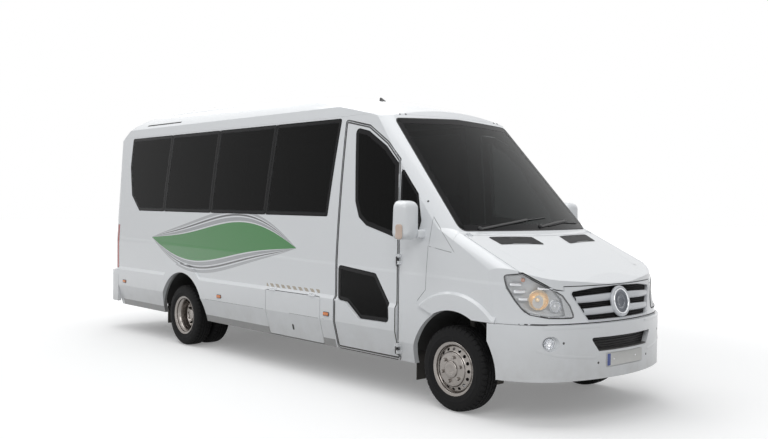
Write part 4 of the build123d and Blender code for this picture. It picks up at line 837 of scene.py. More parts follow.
cell, cell_wall, row_step = 0.017, 0.0035, 0.866
screen_foot, screen_tall, screen_behind = 0.795, 0.27, 0.026
points, faces = [], []
for row in range(int(screen_tall / (cell * row_step)) + 1):
    z = screen_foot + row * cell * row_step
    for y in [(column + 0.5 * (row % 2)) * cell for column in range(-36, 37)]:
        if abs(y) > grille_half(z) + 0.012:
            continue
        x = nose_x(y, z) - screen_behind
        faces += grid_faces(3, 6, start=len(points))
        for wide, sunk in ((cell, 0.0), (cell - cell_wall, 0.001), (cell - cell_wall, 0.010)):
            for angle in [math.radians(60 * k + 30) for k in range(6)]:
                radius = wide / math.sqrt(3)
                points.append(Vector((x - sunk, y + radius * math.cos(angle), z + radius * math.sin(angle))))
new_piece("grille_screen", (points, faces), mesh_black)

fins, core_x, fin_deep, core_half = 120, 3.47, 0.004, 0.60
points = [Vector((core_x + fin_deep * (index % 2), core_half * (2 * index / fins - 1), z))
          for index in range(fins + 1) for z in (0.785, 1.060)]
new_piece("radiator_core", (points, grid_faces(fins + 1, 2, False)), mesh_black)

boss_z, boss_lean = 0.924, 0.18
boss = (Vector((nose_x(0, boss_z) - 0.004, 0, boss_z)), LEFTWARD, Vector((-boss_lean, 0, 1)).normalized(),
        Vector((1, 0, boss_lean)).normalized())
boss_table = (
    # name, material, section as (radius, height)
    ("shell", pale_lacquer, ((0.110, -0.012), (0.124, 0.000), (0.1255, 0.010), (0.1225, 0.019), (0.114, 0.0235),
                             (0.106, 0.0225), (0.1035, 0.0185))),
    ("ring", bright_trim, ((0.1035, 0.0175), (0.1025, 0.0235), (0.0985, 0.0262), (0.0940, 0.0255), (0.0910, 0.0215),
                           (0.0905, 0.0165))),
    ("disc", dark_enamel, ((0.0910, 0.0165), (0.0800, 0.0130), (0.0520, 0.0110), (0.0500, 0.0125), (0.0440, 0.0130),
                           (0.0420, 0.0115), (0.0200, 0.0110), (0.0004, 0.0110))),
)
for name, material, section in boss_table:
    new_piece(f"boss_{name}", turn(boss, section, 64), material, angle=50)
grille_line = [(-0.545, 1.020), (-0.300, 1.046), (0.0, 1.055), (0.300, 1.046), (0.545, 1.020), (0.405, 0.800),
               (-0.405, 0.800)]
edge_band("grille_rim", grille_line, 0.02, 0.010, lay_front, pale_lacquer, lift=0.0005, start=-0.011, crown=0.003)

# ---------------------------------------------------------------- headlamps
# Clear covers over silvered bowls in a moulded tray, pushed in from the front and sealed round
# their edge with black rubber.  Body filler closes the corner above each lamp's inner end.
clear_cover = finish_of("clear_cover", (0.93, 0.95, 0.97), 0.03, "clear_lens", grain=40, bump=0.0, spread=0.02,
                        film=0.05, top=1.6, Alpha=0.16, Coat_Weight=0.6, Coat_Roughness=0.02)
silvered = finish_of("silvered", (0.74, 0.75, 0.77), 0.12, "polished_steel", grain=90, bump=0.06, film=0.03,
                     Metallic=1.0)
warm_silver = finish_of("warm_silver", (0.95, 0.74, 0.46), 0.2, "polished_steel", grain=60, bump=0.06, film=0.03,
                        Metallic=0.85)
lamp_tray = finish_of("lamp_tray", (0.50, 0.51, 0.52), 0.3, "pale_plastic", grain=500, bump=0.1, film=0.05,
                      Metallic=0.5)
amber_glass = finish_of("amber_glass", (0.75, 0.20, 0.02), 0.15, "red_lens", grain=260, bump=0.25, film=0.1, top=1.2,
                        stretch=(1, 0.1, 3), Coat_Weight=0.6, Coat_Roughness=0.04)


def patch(name, outline, lift, laid, material, body="body", rings=5, dome=0.0, slot=None):
    """a filled shape laid on the skin; outline is closed and can be seen whole from its middle"""
    middle = sum((Vector(point) for point in outline), Vector((0, 0))) / len(outline)
    points = []
    count = len(outline)
    for scale in [1 - ring / rings for ring in range(rings)]:
        points += [laid(*middle.lerp(Vector(point), scale), lift + dome * (1 - scale * scale)) for point in outline]
    points.append(laid(*middle, lift + dome))
    last = (rings - 1) * count
    faces = grid_faces(rings, count) + [(last + k, last + (k + 1) % count, rings * count) for k in range(count)]
    return new_piece(name, (points, faces), material, body, slot=slot)


def facing(origin, out):
    """the place at an origin that faces out, with its up axis as upright as that allows"""
    right = UPWARD.cross(out).normalized()
    return origin, right, out.cross(right), out


def scaled(rows, factor):
    return [(radius * factor, height * factor) for radius, height in rows]


def along_line(points, part):
    """the place at a part of the way through a line, taking each of its legs as equally long"""
    legs = len(points) - 1
    leg = min(int(part * legs), legs - 1)
    return Vector(points[leg]).lerp(Vector(points[leg + 1]), part * legs - leg)


# outlines run inwards from the corner (a) and up (b), as seen along the diagonal that a lamp faces
socket_line = [(-0.295, 1.147), (-0.158, 1.163), (0.085, 1.038), (0.145, 0.972), (0.177, 0.846), (0.040, 0.838),
               (-0.141, 0.871), (-0.213, 0.950), (-0.275, 1.048)]
cover_line = [(-0.297, 1.147), (-0.158, 1.161), (0.083, 1.036), (0.152, 0.996), (0.212, 0.916), (0.250, 0.824),
              (0.143, 0.826), (0.040, 0.829), (-0.104, 0.855), (-0.165, 0.898), (-0.219, 0.968), (-0.279, 1.068)]
flange_table = (
    # the tray's flange under the cover's inner end, and the body-coloured filler above it
    ("flange", ((0.081, 1.035), (0.143, 0.972), (0.174, 0.846), (0.174, 0.827)),
     ((0.083, 1.036), (0.152, 0.996), (0.212, 0.916), (0.248, 0.826)), 0.0006, lamp_tray),
    ("cheek", ((0.079, 1.034), (0.150, 0.994), (0.208, 0.918)),
     ((0.080, 1.046), (0.188, 1.026), (0.216, 0.922)), 0.0009, nose_lacquer),
)
bowl_rows = ((0.079, -0.002), (0.0785, 0.001), (0.0765, 0.002), (0.0745, -0.002), (0.067, -0.018), (0.054, -0.034),
             (0.036, -0.045), (0.017, -0.050), (0.0155, -0.038), (0.0145, -0.020), (0.011, -0.016), (0.0004, -0.015))
bulb_rows = ((0.017, 0.0), (0.0165, 0.010), (0.013, 0.017), (0.007, 0.021), (0.0004, 0.022))
step_rows = ((0.0, 0.0), (0.001, 0.008), (0.005, 0.013), (0.012, 0.015))
for name, side in SIDES:
    diagonal, across = Vector((1, side, 0)).normalized(), Vector((1, -side, 0)).normalized()
    laid = layer(lambda a, b: Vector((front_axle, 0, b)) + across * a + diagonal * 2.5, -diagonal)
    lens = patch(f"headlamp_lens_{name}", rounded(cover_line, 0.024), 0.0035, laid, clear_cover, rings=6)
    lens.modifiers.new("thickness", "SOLIDIFY").thickness = 0.003
    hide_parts("front_lamps")
    patch(f"headlamp_tray_{name}", rounded(socket_line, 0.02), -0.030, laid, lamp_tray, rings=8, dome=-0.05)
    edge_band(f"headlamp_wall_{name}", socket_line, 0.022, 0.016, laid, lamp_tray, lift=-0.028)
    edge_band(f"headlamp_seal_{name}", cover_line, 0.024, 0.012, laid, black_rubber, start=-0.005, crown=0.0035,
              gap=0.015)
    out = Vector((0.80, side * 0.60, 0.04)).normalized()
    low_beam, high_beam = facing(laid(-0.031, 0.961, -0.034), out), facing(laid(0.098, 0.915, -0.030), out)
    new_piece(f"low_beam_{name}", turn(low_beam, bowl_rows, 40), warm_silver, angle=50)
    new_piece(f"high_beam_{name}", turn(high_beam, scaled(bowl_rows, 0.62), 40), silvered, angle=50)
    steps = [pillow(facing(laid(a, b, -0.036), out), width, 0.030, 0.014, step_rows) for a, b, width in
             ((-0.205, 1.075, 0.10), (-0.178, 1.022, 0.10), (-0.150, 0.966, 0.085), (0.020, 1.048, 0.13))]
    new_piece(f"lamp_steps_{name}", joined(*steps), silvered, angle=40)
    new_piece(f"turn_bulb_{name}", turn(facing(laid(-0.150, 1.112, -0.034), out), bulb_rows, 20), amber_glass,
              angle=50)
    for label, inner_line, outer_line, lift, material in flange_table:
        points = []
        for part in [k / 12 for k in range(13)]:
            inner, outer = along_line(inner_line, part), along_line(outer_line, part)
            points += [laid(*inner.lerp(outer, k / 6), lift) for k in range(7)]
        new_piece(f"lamp_{label}_{name}", (points, grid_faces(13, 7, False)), material)

# ---------------------------------------------------------------- bumper fittings
# The front bumper carries a black intake grid, round fog lamps behind clear covers, four parking
# sensors and a blank number plate screwed to a flat seat.  The rear door has the second plate.
plate_white = finish_of("plate_white", (0.72, 0.72, 0.70), 0.32, "white_paint", grain=1200, bump=0.08, scale=12)
plate_blue = finish_of("plate_blue", (0.018, 0.06, 0.30), 0.32, "white_paint", grain=1200, bump=0.08, scale=12)
bumper_tip, bumper_radius, intake_columns, bars_behind, sheet_behind = 3.6725, 1.78, 25, 0.042, 0.058


def bumper_spots(half):
    """(x, y) of evenly spaced places on the front bumper's curved face, half to either side"""
    ys = [half * (-1 + 2 * column / (intake_columns - 1)) for column in range(intake_columns)]
    return [(bumper_tip - (bumper_radius - math.sqrt(bumper_radius ** 2 - y * y)), y) for y in ys]


bar_section = ((-0.012, -0.004), (0.0, -0.003), (0.002, 0.0), (0.0, 0.003), (-0.012, 0.004))
shapes = []
for z, half in ((0.572, 0.328), (0.592, 0.344), (0.612, 0.360), (0.632, 0.376), (0.652, 0.392)):
    points = [Vector((x - bars_behind + forward, y, z + rise)) for x, y in bumper_spots(half)
              for forward, rise in bar_section]
    shapes.append((points, grid_faces(intake_columns, len(bar_section))))
points = [Vector((x - sheet_behind, y, z)) for x, y in bumper_spots(0.405) for z in (0.552, 0.676)]
shapes.append((points, grid_faces(intake_columns, 2, False)))
new_piece("intake_grid", joined(*shapes), mesh_black, angle=40)
lip_rows = ((-0.056, 0.5575), (-0.030, 0.5590), (-0.004, 0.5615), (0.0015, 0.5650), (0.0005, 0.5700), (-0.008, 0.5725),
            (-0.040, 0.5705))
points = [Vector((min(x + forward, bumper_tip - 0.0003), y, z)) for x, y in bumper_spots(0.326)
          for forward, z in lip_rows]
new_piece("intake_lip", (points, grid_faces(intake_columns, len(lip_rows), False)), black_moulding, angle=50)

plate_rows = ((0.0, 0.0), (0.0, 0.004), (0.0015, 0.0052), (0.003, 0.0045))
plate_band_rows = ((0.0, 0.0046), (0.0, 0.0050), (0.001, 0.0052))
screw_rows = ((0.0055, 0.0), (0.005, 0.0015), (0.003, 0.0024), (0.0004, 0.0026))
plate_table = (
    # name, middle of its seat, which way it faces, body
    ("front", Vector((3.6545, 0, 0.4845)), FORWARD, "body"),
    ("rear", lay_rear(0.40, 1.02), -FORWARD, "rear_door_left"),
)
for name, origin, out, body in plate_table:
    where = facing(origin, out)
    right = where[1]
    new_piece(f"plate_{name}", pillow(where, 0.490, 0.104, 0.012, plate_rows), plate_white, body, 30)
    new_piece(f"plate_band_{name}", pillow(facing(origin - right * 0.219, out), 0.044, 0.094, 0.006, plate_band_rows),
              plate_blue, body, 30)
    screws = [turn(facing(origin + right * a + out * 0.0045, out), screw_rows, 12) for a in (-0.15, 0.15)]
    new_piece(f"plate_screws_{name}", joined(*screws), bright_trim, body, 50)
fog_table = (
    # name, material, shading angle, section as (radius, height)
    ("bowl", silvered, 50, scaled(bowl_rows, 0.50)),
    ("ring", bright_trim, 40, ((0.0395, -0.03), (0.0400, 0.002), (0.0420, 0.005), (0.0440, 0.003), (0.0440, -0.03))),
    ("bezel", nose_lacquer, 40, ((0.0445, -0.006), (0.0455, 0.0), (0.0480, 0.002), (0.0570, 0.000), (0.0570, -0.02))),
    ("cover", clear_cover, 50, ((0.0395, 0.003), (0.032, 0.007), (0.020, 0.009), (0.009, 0.010), (0.0004, 0.0102))),
)
sensor_rows = ((0.0095, 0.0), (0.009, 0.0012), (0.006, 0.0018), (0.0004, 0.0018))
for name, side in SIDES:
    ledge = [(side * y, 0.757) for y in (0.30, 0.45, 0.60, 0.72, 0.80)]
    strip(f"bumper_ledge_{name}", ledge, 0.032, 0.0002, lay_front, nose_lacquer, crown=0.0032)
    crease = [(side * y, z) for y, z in ((0.835, 0.585), (0.70, 0.545), (0.55, 0.527), (0.36, 0.512))]
    strip(f"bumper_crease_{name}", crease, 0.026, 0.0002, lay_front, nose_lacquer, crown=0.0026)
for name, side in SIDES:
    fog_lamp = facing(Vector((3.470, side * 0.739, 0.635)), Vector((0.83, side * 0.56, 0)).normalized())
    for label, material, angle, section in fog_table:
        new_piece(f"fog_{label}_{name}", turn(fog_lamp, section, 40), material, angle=angle)
    for label, y, z in (("outer", 0.655, 0.640), ("inner", 0.335, 0.470)):
        new_piece(f"sensor_{label}_{name}", turn(on_skin(lay_front, side * y, z), sensor_rows, 16), black_moulding,
                  angle=50)

# ---------------------------------------------------------------- bonnet vents and wipers
# Slotted black air inlets let into the bonnet's rear edge, and two wiper arms that park on the
# foot of the windscreen.
slats = 6
for name, side in SIDES:
    vent = [(2.786, side * 0.672), (2.854, side * 0.190), (2.984, side * 0.176), (2.914, side * 0.652)]
    patch(f"vent_{name}", rounded(vent, 0.02), 0.0012, lay_top, mesh_black, "bonnet")
    edge_band(f"vent_rim_{name}", vent, 0.02, 0.008, lay_top, black_moulding, "bonnet", 0.0014, crown=0.002)
    for slat in range(slats):
        part = (slat + 1) / (slats + 1)
        line = [tuple(a + (b - a) * part for a, b in zip(*ends)) for ends in ((vent[0], vent[3]), (vent[1], vent[2]))]
        strip(f"vent_slat_{slat}_{name}", line, 0.007, 0.0015, lay_top, black_moulding, "bonnet", crown=0.0035)
    ridge = [(2.885, side * 0.742), (3.030, side * 0.718), (3.181, side * 0.690), (3.330, side * 0.640)]
    strip(f"bonnet_ridge_{name}", ridge, 0.05, 0.0002, lay_top, nose_lacquer, "bonnet", crown=0.0028)
wiper_table = (
    # name, arm, blade: points (y, z) on the screen
    ("right", ((-0.66, 1.484), (-0.40, 1.520), (-0.06, 1.560)), ((-0.42, 1.512), (-0.10, 1.552), (0.22, 1.574))),
    ("left", ((0.06, 1.500), (0.30, 1.528), (0.55, 1.548)), ((0.18, 1.502), (0.48, 1.530), (0.74, 1.520))),
)
pivot_rows = ((0.019, 0.0), (0.018, 0.012), (0.014, 0.018), (0.0004, 0.019))
for name, arm, blade in wiper_table:
    strip(f"wiper_arm_{name}", arm, 0.016, 0.010, lay_front, black_moulding, crown=0.007)
    strip(f"wiper_blade_{name}", blade, 0.009, 0.0008, lay_front, black_rubber, crown=0.011)
    new_piece(f"wiper_pivot_{name}", turn(on_skin(lay_front, *arm[0]), pivot_rows, 20), black_moulding, angle=50)

# ---------------------------------------------------------------- door mirrors
# Moulded housings sprayed in the body colour, on short folding arms.  Each holds two mirror
# glasses, and a turn lamp is let into its outer side near the foot.
mirror_glass = finish_of("mirror_glass", (0.80, 0.82, 0.84), 0.02, "polished_steel", grain=60, bump=0.0, spread=0.01,
                         film=0.02, Metallic=1.0)
pale_amber = finish_of("pale_amber", (0.62, 0.47, 0.38), 0.12, "clear_lens", grain=240, bump=0.3, film=0.1, top=1.6,
                       stretch=(1, 0.1, 3), Coat_Weight=0.6, Coat_Roughness=0.03)
housing_rows = ((0.012, -0.0660), (0.004, -0.0672), (0.0, -0.0640), (0.0, -0.020), (0.004, 0.012), (0.013, 0.036),
                (0.028, 0.054), (0.050, 0.0640), (0.080, 0.0672))
arm_rows = ((0.004, -0.050), (0.0, -0.046), (0.0, 0.040), (0.004, 0.046))
glass_rows = ((0.0, -0.006), (0.001, -0.0002), (0.004, 0.0))
turn_lamp_rows = ((0.0, -0.004), (0.002, 0.0008), (0.008, 0.0032), (0.018, 0.0042))
for (name, side), body in zip(SIDES, ("body", "driver_door")):
    centre = Vector((front_axle - 0.3875, side * 1.109, 1.550))
    across = Vector((0, -side, 0))
    housing = pillow((centre, across, UPWARD, FORWARD), 0.206, 0.328, 0.062, housing_rows, 8)
    for point in housing[0]:
        height = (point.z - centre.z) / 0.164
        lean = 1 if side * (point.y - centre.y) > 0 else -0.3
        point.y -= side * 0.014 * max(height, 0.0) ** 1.5 * lean
    arm = pillow(beside((front_axle - 0.352, side * 0.985, 1.436), side), 0.054, 0.072, 0.020, arm_rows)
    new_piece(f"mirror_shell_{name}", joined(housing, arm), nose_lacquer, body, 45, stands_for=f"mirror_{name}")
    for label, up, width, height, radius in (("glass", 0.022, 0.172, 0.225, 0.040),
                                             ("lower_glass", -0.120, 0.160, 0.050, 0.018)):
        where = (centre + Vector((-0.0672, 0, up)), across, UPWARD, -FORWARD)
        new_piece(f"mirror_{label}_{name}", pillow(where, width, height, radius, glass_rows, 8), mirror_glass, body, 40)
    where = beside(centre + Vector((0.004, side * 0.0995, -0.095)), side)
    new_piece(f"mirror_turn_lamp_{name}", pillow(where, 0.082, 0.125, 0.026, turn_lamp_rows), pale_amber, body, 45)

# ---------------------------------------------------------------- marker lamps, plugs, tail lamps
# Small moulded lamps and rubber plugs pushed into holes in the panels.  The tail lamps are red
# prismatic covers with a clear reversing window and an amber turn window.
COVER = dict(grain=300, film=0.12, top=1.3, stretch=(1, 0.15, 3), Coat_Weight=0.7, Coat_Roughness=0.03)
red_cover = finish_of("red_cover", (0.36, 0.010, 0.012), 0.12, bump=0.35, **COVER)
white_cover = finish_of("white_cover", (0.62, 0.63, 0.64), 0.15, "red_lens", bump=0.3, **COVER)
repaint(red_cover, "tail_lamps")
marker_rows = ((0.0, 0.0), (0.001, 0.0045), (0.004, 0.0062))
marker_lens_rows = ((0.0, 0.0055), (0.001, 0.0095), (0.005, 0.0125), (0.011, 0.0132))
for x in (1.065, -0.837, -3.136):
    for name, laid in LAID.items():
        where = on_skin(laid, x, 0.64)
        label = f"{name}_{round(abs(x) * 10)}"
        new_piece(f"marker_base_{label}", pillow(where, 0.092, 0.042, 0.014, marker_rows), black_moulding, angle=45)
        new_piece(f"marker_lens_{label}", pillow(where, 0.080, 0.031, 0.012, marker_lens_rows), amber_glass, angle=45)
plug_rows = ((0.009, 0.0), (0.0085, 0.0022), (0.006, 0.0032), (0.0004, 0.0034))
plugs = []
for name, side in SIDES:
    for laid, x, across in ((lay_top, 1.706, side * 0.670), (lay_top, 1.716, side * 0.606), (LAID[name], 2.329, 1.709)):
        plugs.append(turn(on_skin(laid, x, across, 0.01), plug_rows, 14))
new_piece("body_plugs", joined(*plugs), black_rubber, angle=50)
for name, side in SIDES:
    backward, outward = Vector((-1, side, 0)).normalized(), Vector((1, side, 0)).normalized()
    laid = layer(lambda a, b: Vector((rear_axle - 1.78, side * 0.78, b)) + outward * a + backward * 2.0, -backward)
    for label, z, half, material in (("turn", 1.245, 0.0275, amber_glass), ("reversing", 1.010, 0.025, white_cover)):
        outline = [(-0.075, z - half), (0.075, z - half), (0.075, z + half), (-0.075, z + half)]
        patch(f"tail_{label}_{name}", rounded(outline, 0.008), 0.0008, laid, material, rings=4)

# ---------------------------------------------------------------- roof fittings
# A moulded air conditioner cover is bolted along the rear of the roof, with an air opening in
# its nose and two fan grilles.  A short aerial stands ahead of it.
cover_table = (
    # x behind the front axle, height of the crown, half width there, how far the sides lean in
    (3.452, 2.7900, 0.520, 0.030), (3.560, 2.8085, 0.540, 0.045), (3.770, 2.8255, 0.555, 0.060),
    (4.100, 2.8315, 0.560, 0.070), (4.600, 2.8325, 0.560, 0.070), (5.200, 2.8325, 0.560, 0.070),
    (5.400, 2.8270, 0.556, 0.070), (5.470, 2.8000, 0.548, 0.050), (5.498, 2.7500, 0.538, 0.030),
)
cover_squareness, arc_steps = 0.42, 21
lay_roof = layer(*FROM_ABOVE, surface_of("roof"))
points = []
for behind, crown, half, lean in cover_table:
    x = front_axle - behind
    foot = lay_roof(x, half).z
    for angle in [math.pi * k / (arc_steps - 1) for k in range(arc_steps)]:
        wide = math.copysign(abs(math.cos(angle)) ** cover_squareness, math.cos(angle))
        high = math.sin(angle) ** cover_squareness
        points.append(Vector((x, wide * (half - lean * high), foot + (crown - foot) * high)))
faces = grid_faces(len(cover_table), arc_steps, False)
faces += [tuple(range(arc_steps)), tuple(range(len(points) - 1, len(points) - 1 - arc_steps, -1))]
new_piece("cooler_cover", (points, faces), nose_lacquer, stands_for="roof_unit")
lay_cover = layer(*FROM_ABOVE, BVHTree.FromPolygons(points, faces))

fan_half = 0.19
fan_rings = ((0.19, 0.012), (0.155, 0.007), (0.120, 0.007), (0.085, 0.007), (0.050, 0.007))
bolt_rows = ((0.011, 0.0), (0.010, 0.0012), (0.0004, 0.0014))
for name, side in SIDES:
    for index, behind in enumerate((4.46, 5.05)):
        where = (Vector((front_axle - behind, side * 0.265, 0)), FORWARD, LEFTWARD, UPWARD)
        shapes = [turn(where, ((r + w, 0.0010), (r + w * 0.5, 0.0022), (r, 0.0010)), 72) for r, w in fan_rings]
        shapes.append(turn(where, [(fan_half * (1 - k / 10), 0.0009) for k in range(10)], 72))
        points, faces = joined(*shapes)
        for point in points:
            point.z += lay_cover(point.x, point.y).z
        new_piece(f"fan_grille_{name}_{index}", (points, faces), mesh_black, angle=40)
    bolts = [turn(on_skin(lay_cover, front_axle - behind, side * 0.485, 0.01), bolt_rows, 12)
             for behind in (4.30, 4.80, 5.30)]
    new_piece(f"cover_bolts_{name}", joined(*bolts), bright_trim, angle=50)
    gutter = [(front_axle - behind, side * 0.802) for behind in (4.70, 5.00, 5.30, 5.55)]
    strip(f"gutter_strip_{name}", gutter, 0.016, 0.0006, lay_top, black_rubber, crown=0.003)
mouth = [(front_axle - 3.60, -0.30), (front_axle - 3.60, 0.30), (front_axle - 3.50, 0.27), (front_axle - 3.50, -0.27)]
patch("cover_mouth", rounded(mouth, 0.02), 0.0008, lay_cover, mesh_black, rings=4)
# the aerial's rows are (half length, half width, height); it leans back as it rises
aerial_rows = ((0.050, 0.022, 0.0), (0.047, 0.019, 0.004), (0.036, 0.011, 0.014), (0.024, 0.007, 0.028),
               (0.014, 0.005, 0.038), (0.006, 0.003, 0.042))
points, faces = turn((lay_roof(front_axle - 1.95, 0.0), FORWARD, LEFTWARD, Vector((-0.7, 0, 1))), aerial_rows, 24)
faces.append(tuple(range(len(points) - 24, len(points))))
new_piece("aerial", (points, faces), black_moulding, angle=45)

# ---------------------------------------------------------------- seats
# Fifteen passenger seats and the driver's: foam pads under woven cloth, each sewn with two
# channels and a piped line, and the back with a seam across it.  Steel frames carry them.
seat_cloth = finish_of("seat_cloth", (0.030, 0.040, 0.075), 0.85, grain=480, bump=0.7, spread=0.1, film=0.0,
                       stretch=(1, 1, 0.3), Sheen_Weight=0.35, Sheen_Roughness=0.4)
seat_piping = finish_of("seat_piping", (0.012, 0.014, 0.020), 0.5, grain=700, bump=0.3, film=0.0)
seat_places = [(front_axle - 1.340, 0.470, 0.760)]
seat_places += [(front_axle - 2.450 - 0.780 * row, y, 0.740) for row in range(5) for y in (-0.632, 0.180, 0.634)]


def padded_box(width, depth, height, across=16, along=16, up=4):
    """a rounded box of quads about its middle, its faces bulging a little"""
    cells, points, faces = {}, [], []

    def spot(i, j, k):
        key = (i, j, k)
        if key not in cells:
            a, b, c = 2 * i / across - 1, 2 * j / along - 1, 2 * k / up - 1
            length = (abs(a) ** 8 + abs(b) ** 8 + abs(c) ** 5) ** (1 / 8)
            sized = Vector((a * depth / 2, b * width / 2, c * height / 2)) / max(length, 1.0)
            sized.z *= 1 - 0.22 * max(a * a, b * b) ** 3
            cells[key] = len(points)
            points.append(sized)
        return cells[key]

    def quad(*corners):
        faces.append(tuple(spot(*corner) for corner in corners))
    for i in range(across):
        for j in range(along):
            quad((i, j, 0), (i, j + 1, 0), (i + 1, j + 1, 0), (i + 1, j, 0))
            quad((i, j, up), (i + 1, j, up), (i + 1, j + 1, up), (i, j + 1, up))
    for k in range(up):
        for i in range(across):
            quad((i, 0, k), (i + 1, 0, k), (i + 1, 0, k + 1), (i, 0, k + 1))
            quad((i, along, k), (i, along, k + 1), (i + 1, along, k + 1), (i + 1, along, k))
        for j in range(along):
            quad((0, j, k), (0, j, k + 1), (0, j + 1, k + 1), (0, j + 1, k))
            quad((across, j, k), (across, j + 1, k), (across, j + 1, k + 1), (across, j, k + 1))
    return points, faces


def evaluated(form):
    """an object's mesh with its modifiers applied"""
    return bpy.data.meshes.new_from_object(form.evaluated_get(bpy.context.evaluated_depsgraph_get()))


def swollen(points, faces, most, frames=20):
    """the points once the cover has been filled: simulated as cloth under pressure, moved by at most so far"""
    form = new_object("filling", new_mesh("filling", (points, faces)))
    remesh = form.modifiers.new("remesh", "REMESH")
    remesh.mode = "VOXEL"
    remesh.voxel_size = 0.006
    fine = evaluated(form)
    form.modifiers.clear()
    form.data = fine
    rest = [vertex.co.copy() for vertex in fine.vertices]
    cloth = form.modifiers.new("cloth", "CLOTH")
    cloth.settings.use_pressure = True
    cloth.settings.uniform_pressure_force = 4.0
    cloth.settings.effector_weights.gravity = 0.0
    cloth.settings.quality = 4
    cloth.collision_settings.use_collision = False
    cloth.point_cache.frame_start, cloth.point_cache.frame_end = 1, frames
    for step in range(1, frames + 1):
        scene.frame_set(step)
    filled = evaluated(form)
    moves = [vertex.co - before for before, vertex in zip(rest, filled.vertices)]
    places = [before + move * min(1.0, most / max(move.length, 1e-6)) for before, move in zip(rest, moves)]
    tree = BVHTree.FromPolygons(places, [list(polygon.vertices) for polygon in filled.polygons])
    scene.frame_set(1)
    bpy.data.objects.remove(form)
    outside = 1.12
    return [tree.find_nearest(point * outside)[0] for point in points]


def seat_pad(box, most, half, low, high, seams):
    """a filled pad as (points, faces), held inside the room that its frame leaves and subdivided
    once; seams are (axis, middle, depth, width) of grooves sewn into its upper face"""
    points, faces = padded_box(*box)
    points = swollen(points, faces, most)
    for point in points:
        point.x = min(max(point.x, -half[0]), half[0])
        point.y = min(max(point.y, -half[1]), half[1])
        point.z = min(max(point.z, low), high)
    form = new_object("cover", new_mesh("cover", (points, faces)))
    form.modifiers.new("finer", "SUBSURF").levels = 1
    fine = evaluated(form)
    bpy.data.objects.remove(form)
    points = [vertex.co.copy() for vertex in fine.vertices]
    for axis, middle, deep, wide in seams:
        for point in points:
            if point.z > 0:
                point.z -= deep * math.exp(-((point[axis] - middle) / wide) ** 2)
    return points, [tuple(polygon.vertices) for polygon in fine.polygons]


channels = ((1, -0.105, 0.010, 0.011), (1, 0.105, 0.010, 0.011))
cushion = seat_pad((0.405, 0.395, 0.088), 0.026, (0.210, 0.218), -0.050, 0.062, channels)
back = seat_pad((0.400, 0.685, 0.070, 22, 16, 4), 0.024, (0.352, 0.216), -0.042, 0.052,
                channels + ((0, 0.200, 0.012, 0.013),))


def edge_piping(shape, inset_x, inset_y, bend=0.05, radius=0.0034):
    """the cord line that is sewn round a pad's upper face: a closed tube that follows it"""
    laid = layer(lambda a, b: (a, b, 1), (0, 0, -1), BVHTree.FromPolygons(*shape))
    outline = [(-inset_x, -inset_y), (inset_x, -inset_y), (inset_x, inset_y), (-inset_x, inset_y)]
    tops = [(point, laid(*point)) for point in spaced(rounded(outline, bend), True)]
    track = [Vector((*point, 0.0015 + (0.0 if top is None else top.z))) for point, top in tops]
    points, count = [], len(track)
    for index, point in enumerate(track):
        way = (track[(index + 1) % count] - track[index - 1]).normalized()
        side = way.cross(UPWARD).normalized()
        top = side.cross(way)
        points += [point + side * radius * math.cos(a) + top * radius * math.sin(a)
                   for a in [math.pi / 3 * k for k in range(6)]]
    return points, [tuple(index % len(points) for index in face) for face in grid_faces(count + 1, 6)]


cushion_way = Matrix.Rotation(math.radians(-3), 4, "Y")
back_way = Matrix.Rotation(math.radians(-90 - 11.5), 4, "Y") @ Matrix.Rotation(math.pi, 4, "X")
pad_table = (
    # name, mesh, place from the seat's own, way it is turned
    ("cushion", new_mesh("seat_cushion", cushion, seat_cloth), (0.247, 0, 0.377), cushion_way),
    ("cushion_piping", new_mesh("seat_cushion_piping", edge_piping(cushion, 0.172, 0.182), seat_piping),
     (0.247, 0, 0.377), cushion_way),
    ("back", new_mesh("seat_back", back, seat_cloth), (-0.018, 0, 0.706), back_way),
    ("back_piping", new_mesh("seat_back_piping", edge_piping(back, 0.305, 0.178), seat_piping), (-0.018, 0, 0.706),
     back_way),
)
for index, seat_place in enumerate(seat_places):
    for label, mesh, offset, way in pad_table:
        piece = new_object(f"seat_{label}_{index + 1}", mesh)
        piece.matrix_world = Matrix.Translation(Vector(seat_place) + Vector(offset)) @ way
        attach(piece, "body")
        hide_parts("seats")

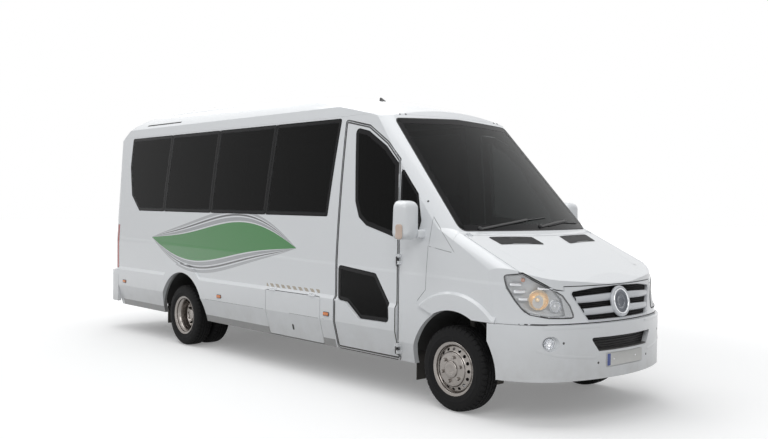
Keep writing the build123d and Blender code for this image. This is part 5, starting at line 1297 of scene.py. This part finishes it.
# ---------------------------------------------------------------- cab and cabin trim
# Moulded dashboard, a foam-covered steering wheel and hard-wearing floor covering.  Seat legs are
# square steel tube, stoved black.
dash_plastic = finish_of("dash_plastic", (0.028, 0.029, 0.031), 0.6, grain=620, bump=0.5, film=0.0)
floor_vinyl = finish_of("floor_vinyl", (0.085, 0.088, 0.092), 0.6, grain=380, bump=0.25, scale=9)
frame_enamel = finish_of("frame_enamel", (0.02, 0.02, 0.022), 0.38, grain=700, bump=0.1, film=0.15, top=1.0)
rim_foam = finish_of("rim_foam", (0.018, 0.018, 0.019), 0.55, "black_plastic", grain=1400, bump=0.3, film=0.0)
repaint(dash_plastic, "dashboard")
repaint(floor_vinyl, "floor_pan", "entry_step", "side_locker")
repaint(frame_enamel, "seat_frames")
wheel_place, wheel_out = Vector((front_axle - 0.640, 0.470, 1.350)), Vector((-0.8, 0, 0.6))
wheel_right = -LEFTWARD
wheel_up = wheel_out.cross(wheel_right)
rim_radius, rim_half, rim_half_thick = 0.1905, 0.0140, 0.0135
rim_rows = [(rim_radius + rim_half * math.cos(a), rim_half_thick * math.sin(a))
            for a in [2 * math.pi * k / 14 for k in range(15)]]
spoke_rows = ((0.002, -0.006), (0.0, 0.0), (0.002, 0.006), (0.007, 0.009))
hub_rows = ((0.030, 0.030, -0.058), (0.034, 0.034, -0.020), (0.062, 0.058, -0.004), (0.066, 0.062, 0.008),
            (0.058, 0.054, 0.018), (0.030, 0.028, 0.023), (0.0004, 0.0004, 0.024))
shapes = [turn((wheel_place, wheel_right, wheel_up, wheel_out), rim_rows, 56)]
for angle in (12, 168, 270):
    way = wheel_right * math.cos(math.radians(angle)) + wheel_up * math.sin(math.radians(angle))
    where = (wheel_place + way * 0.115 - wheel_out * 0.008, way, wheel_out.cross(way), wheel_out)
    shapes.append(pillow(where, 0.150, 0.034, 0.010, spoke_rows))
shapes.append(turn((wheel_place - wheel_out * 0.012, wheel_right, wheel_up, wheel_out), hub_rows, 40))
new_piece("steering_rim", joined(*shapes), rim_foam, "steering_wheel", 40, stands_for="steering_wheel")

low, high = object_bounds()
f"{list(cad_low)}\n{list(cad_high)}\n{list(low)}\n{list(high)}\n"
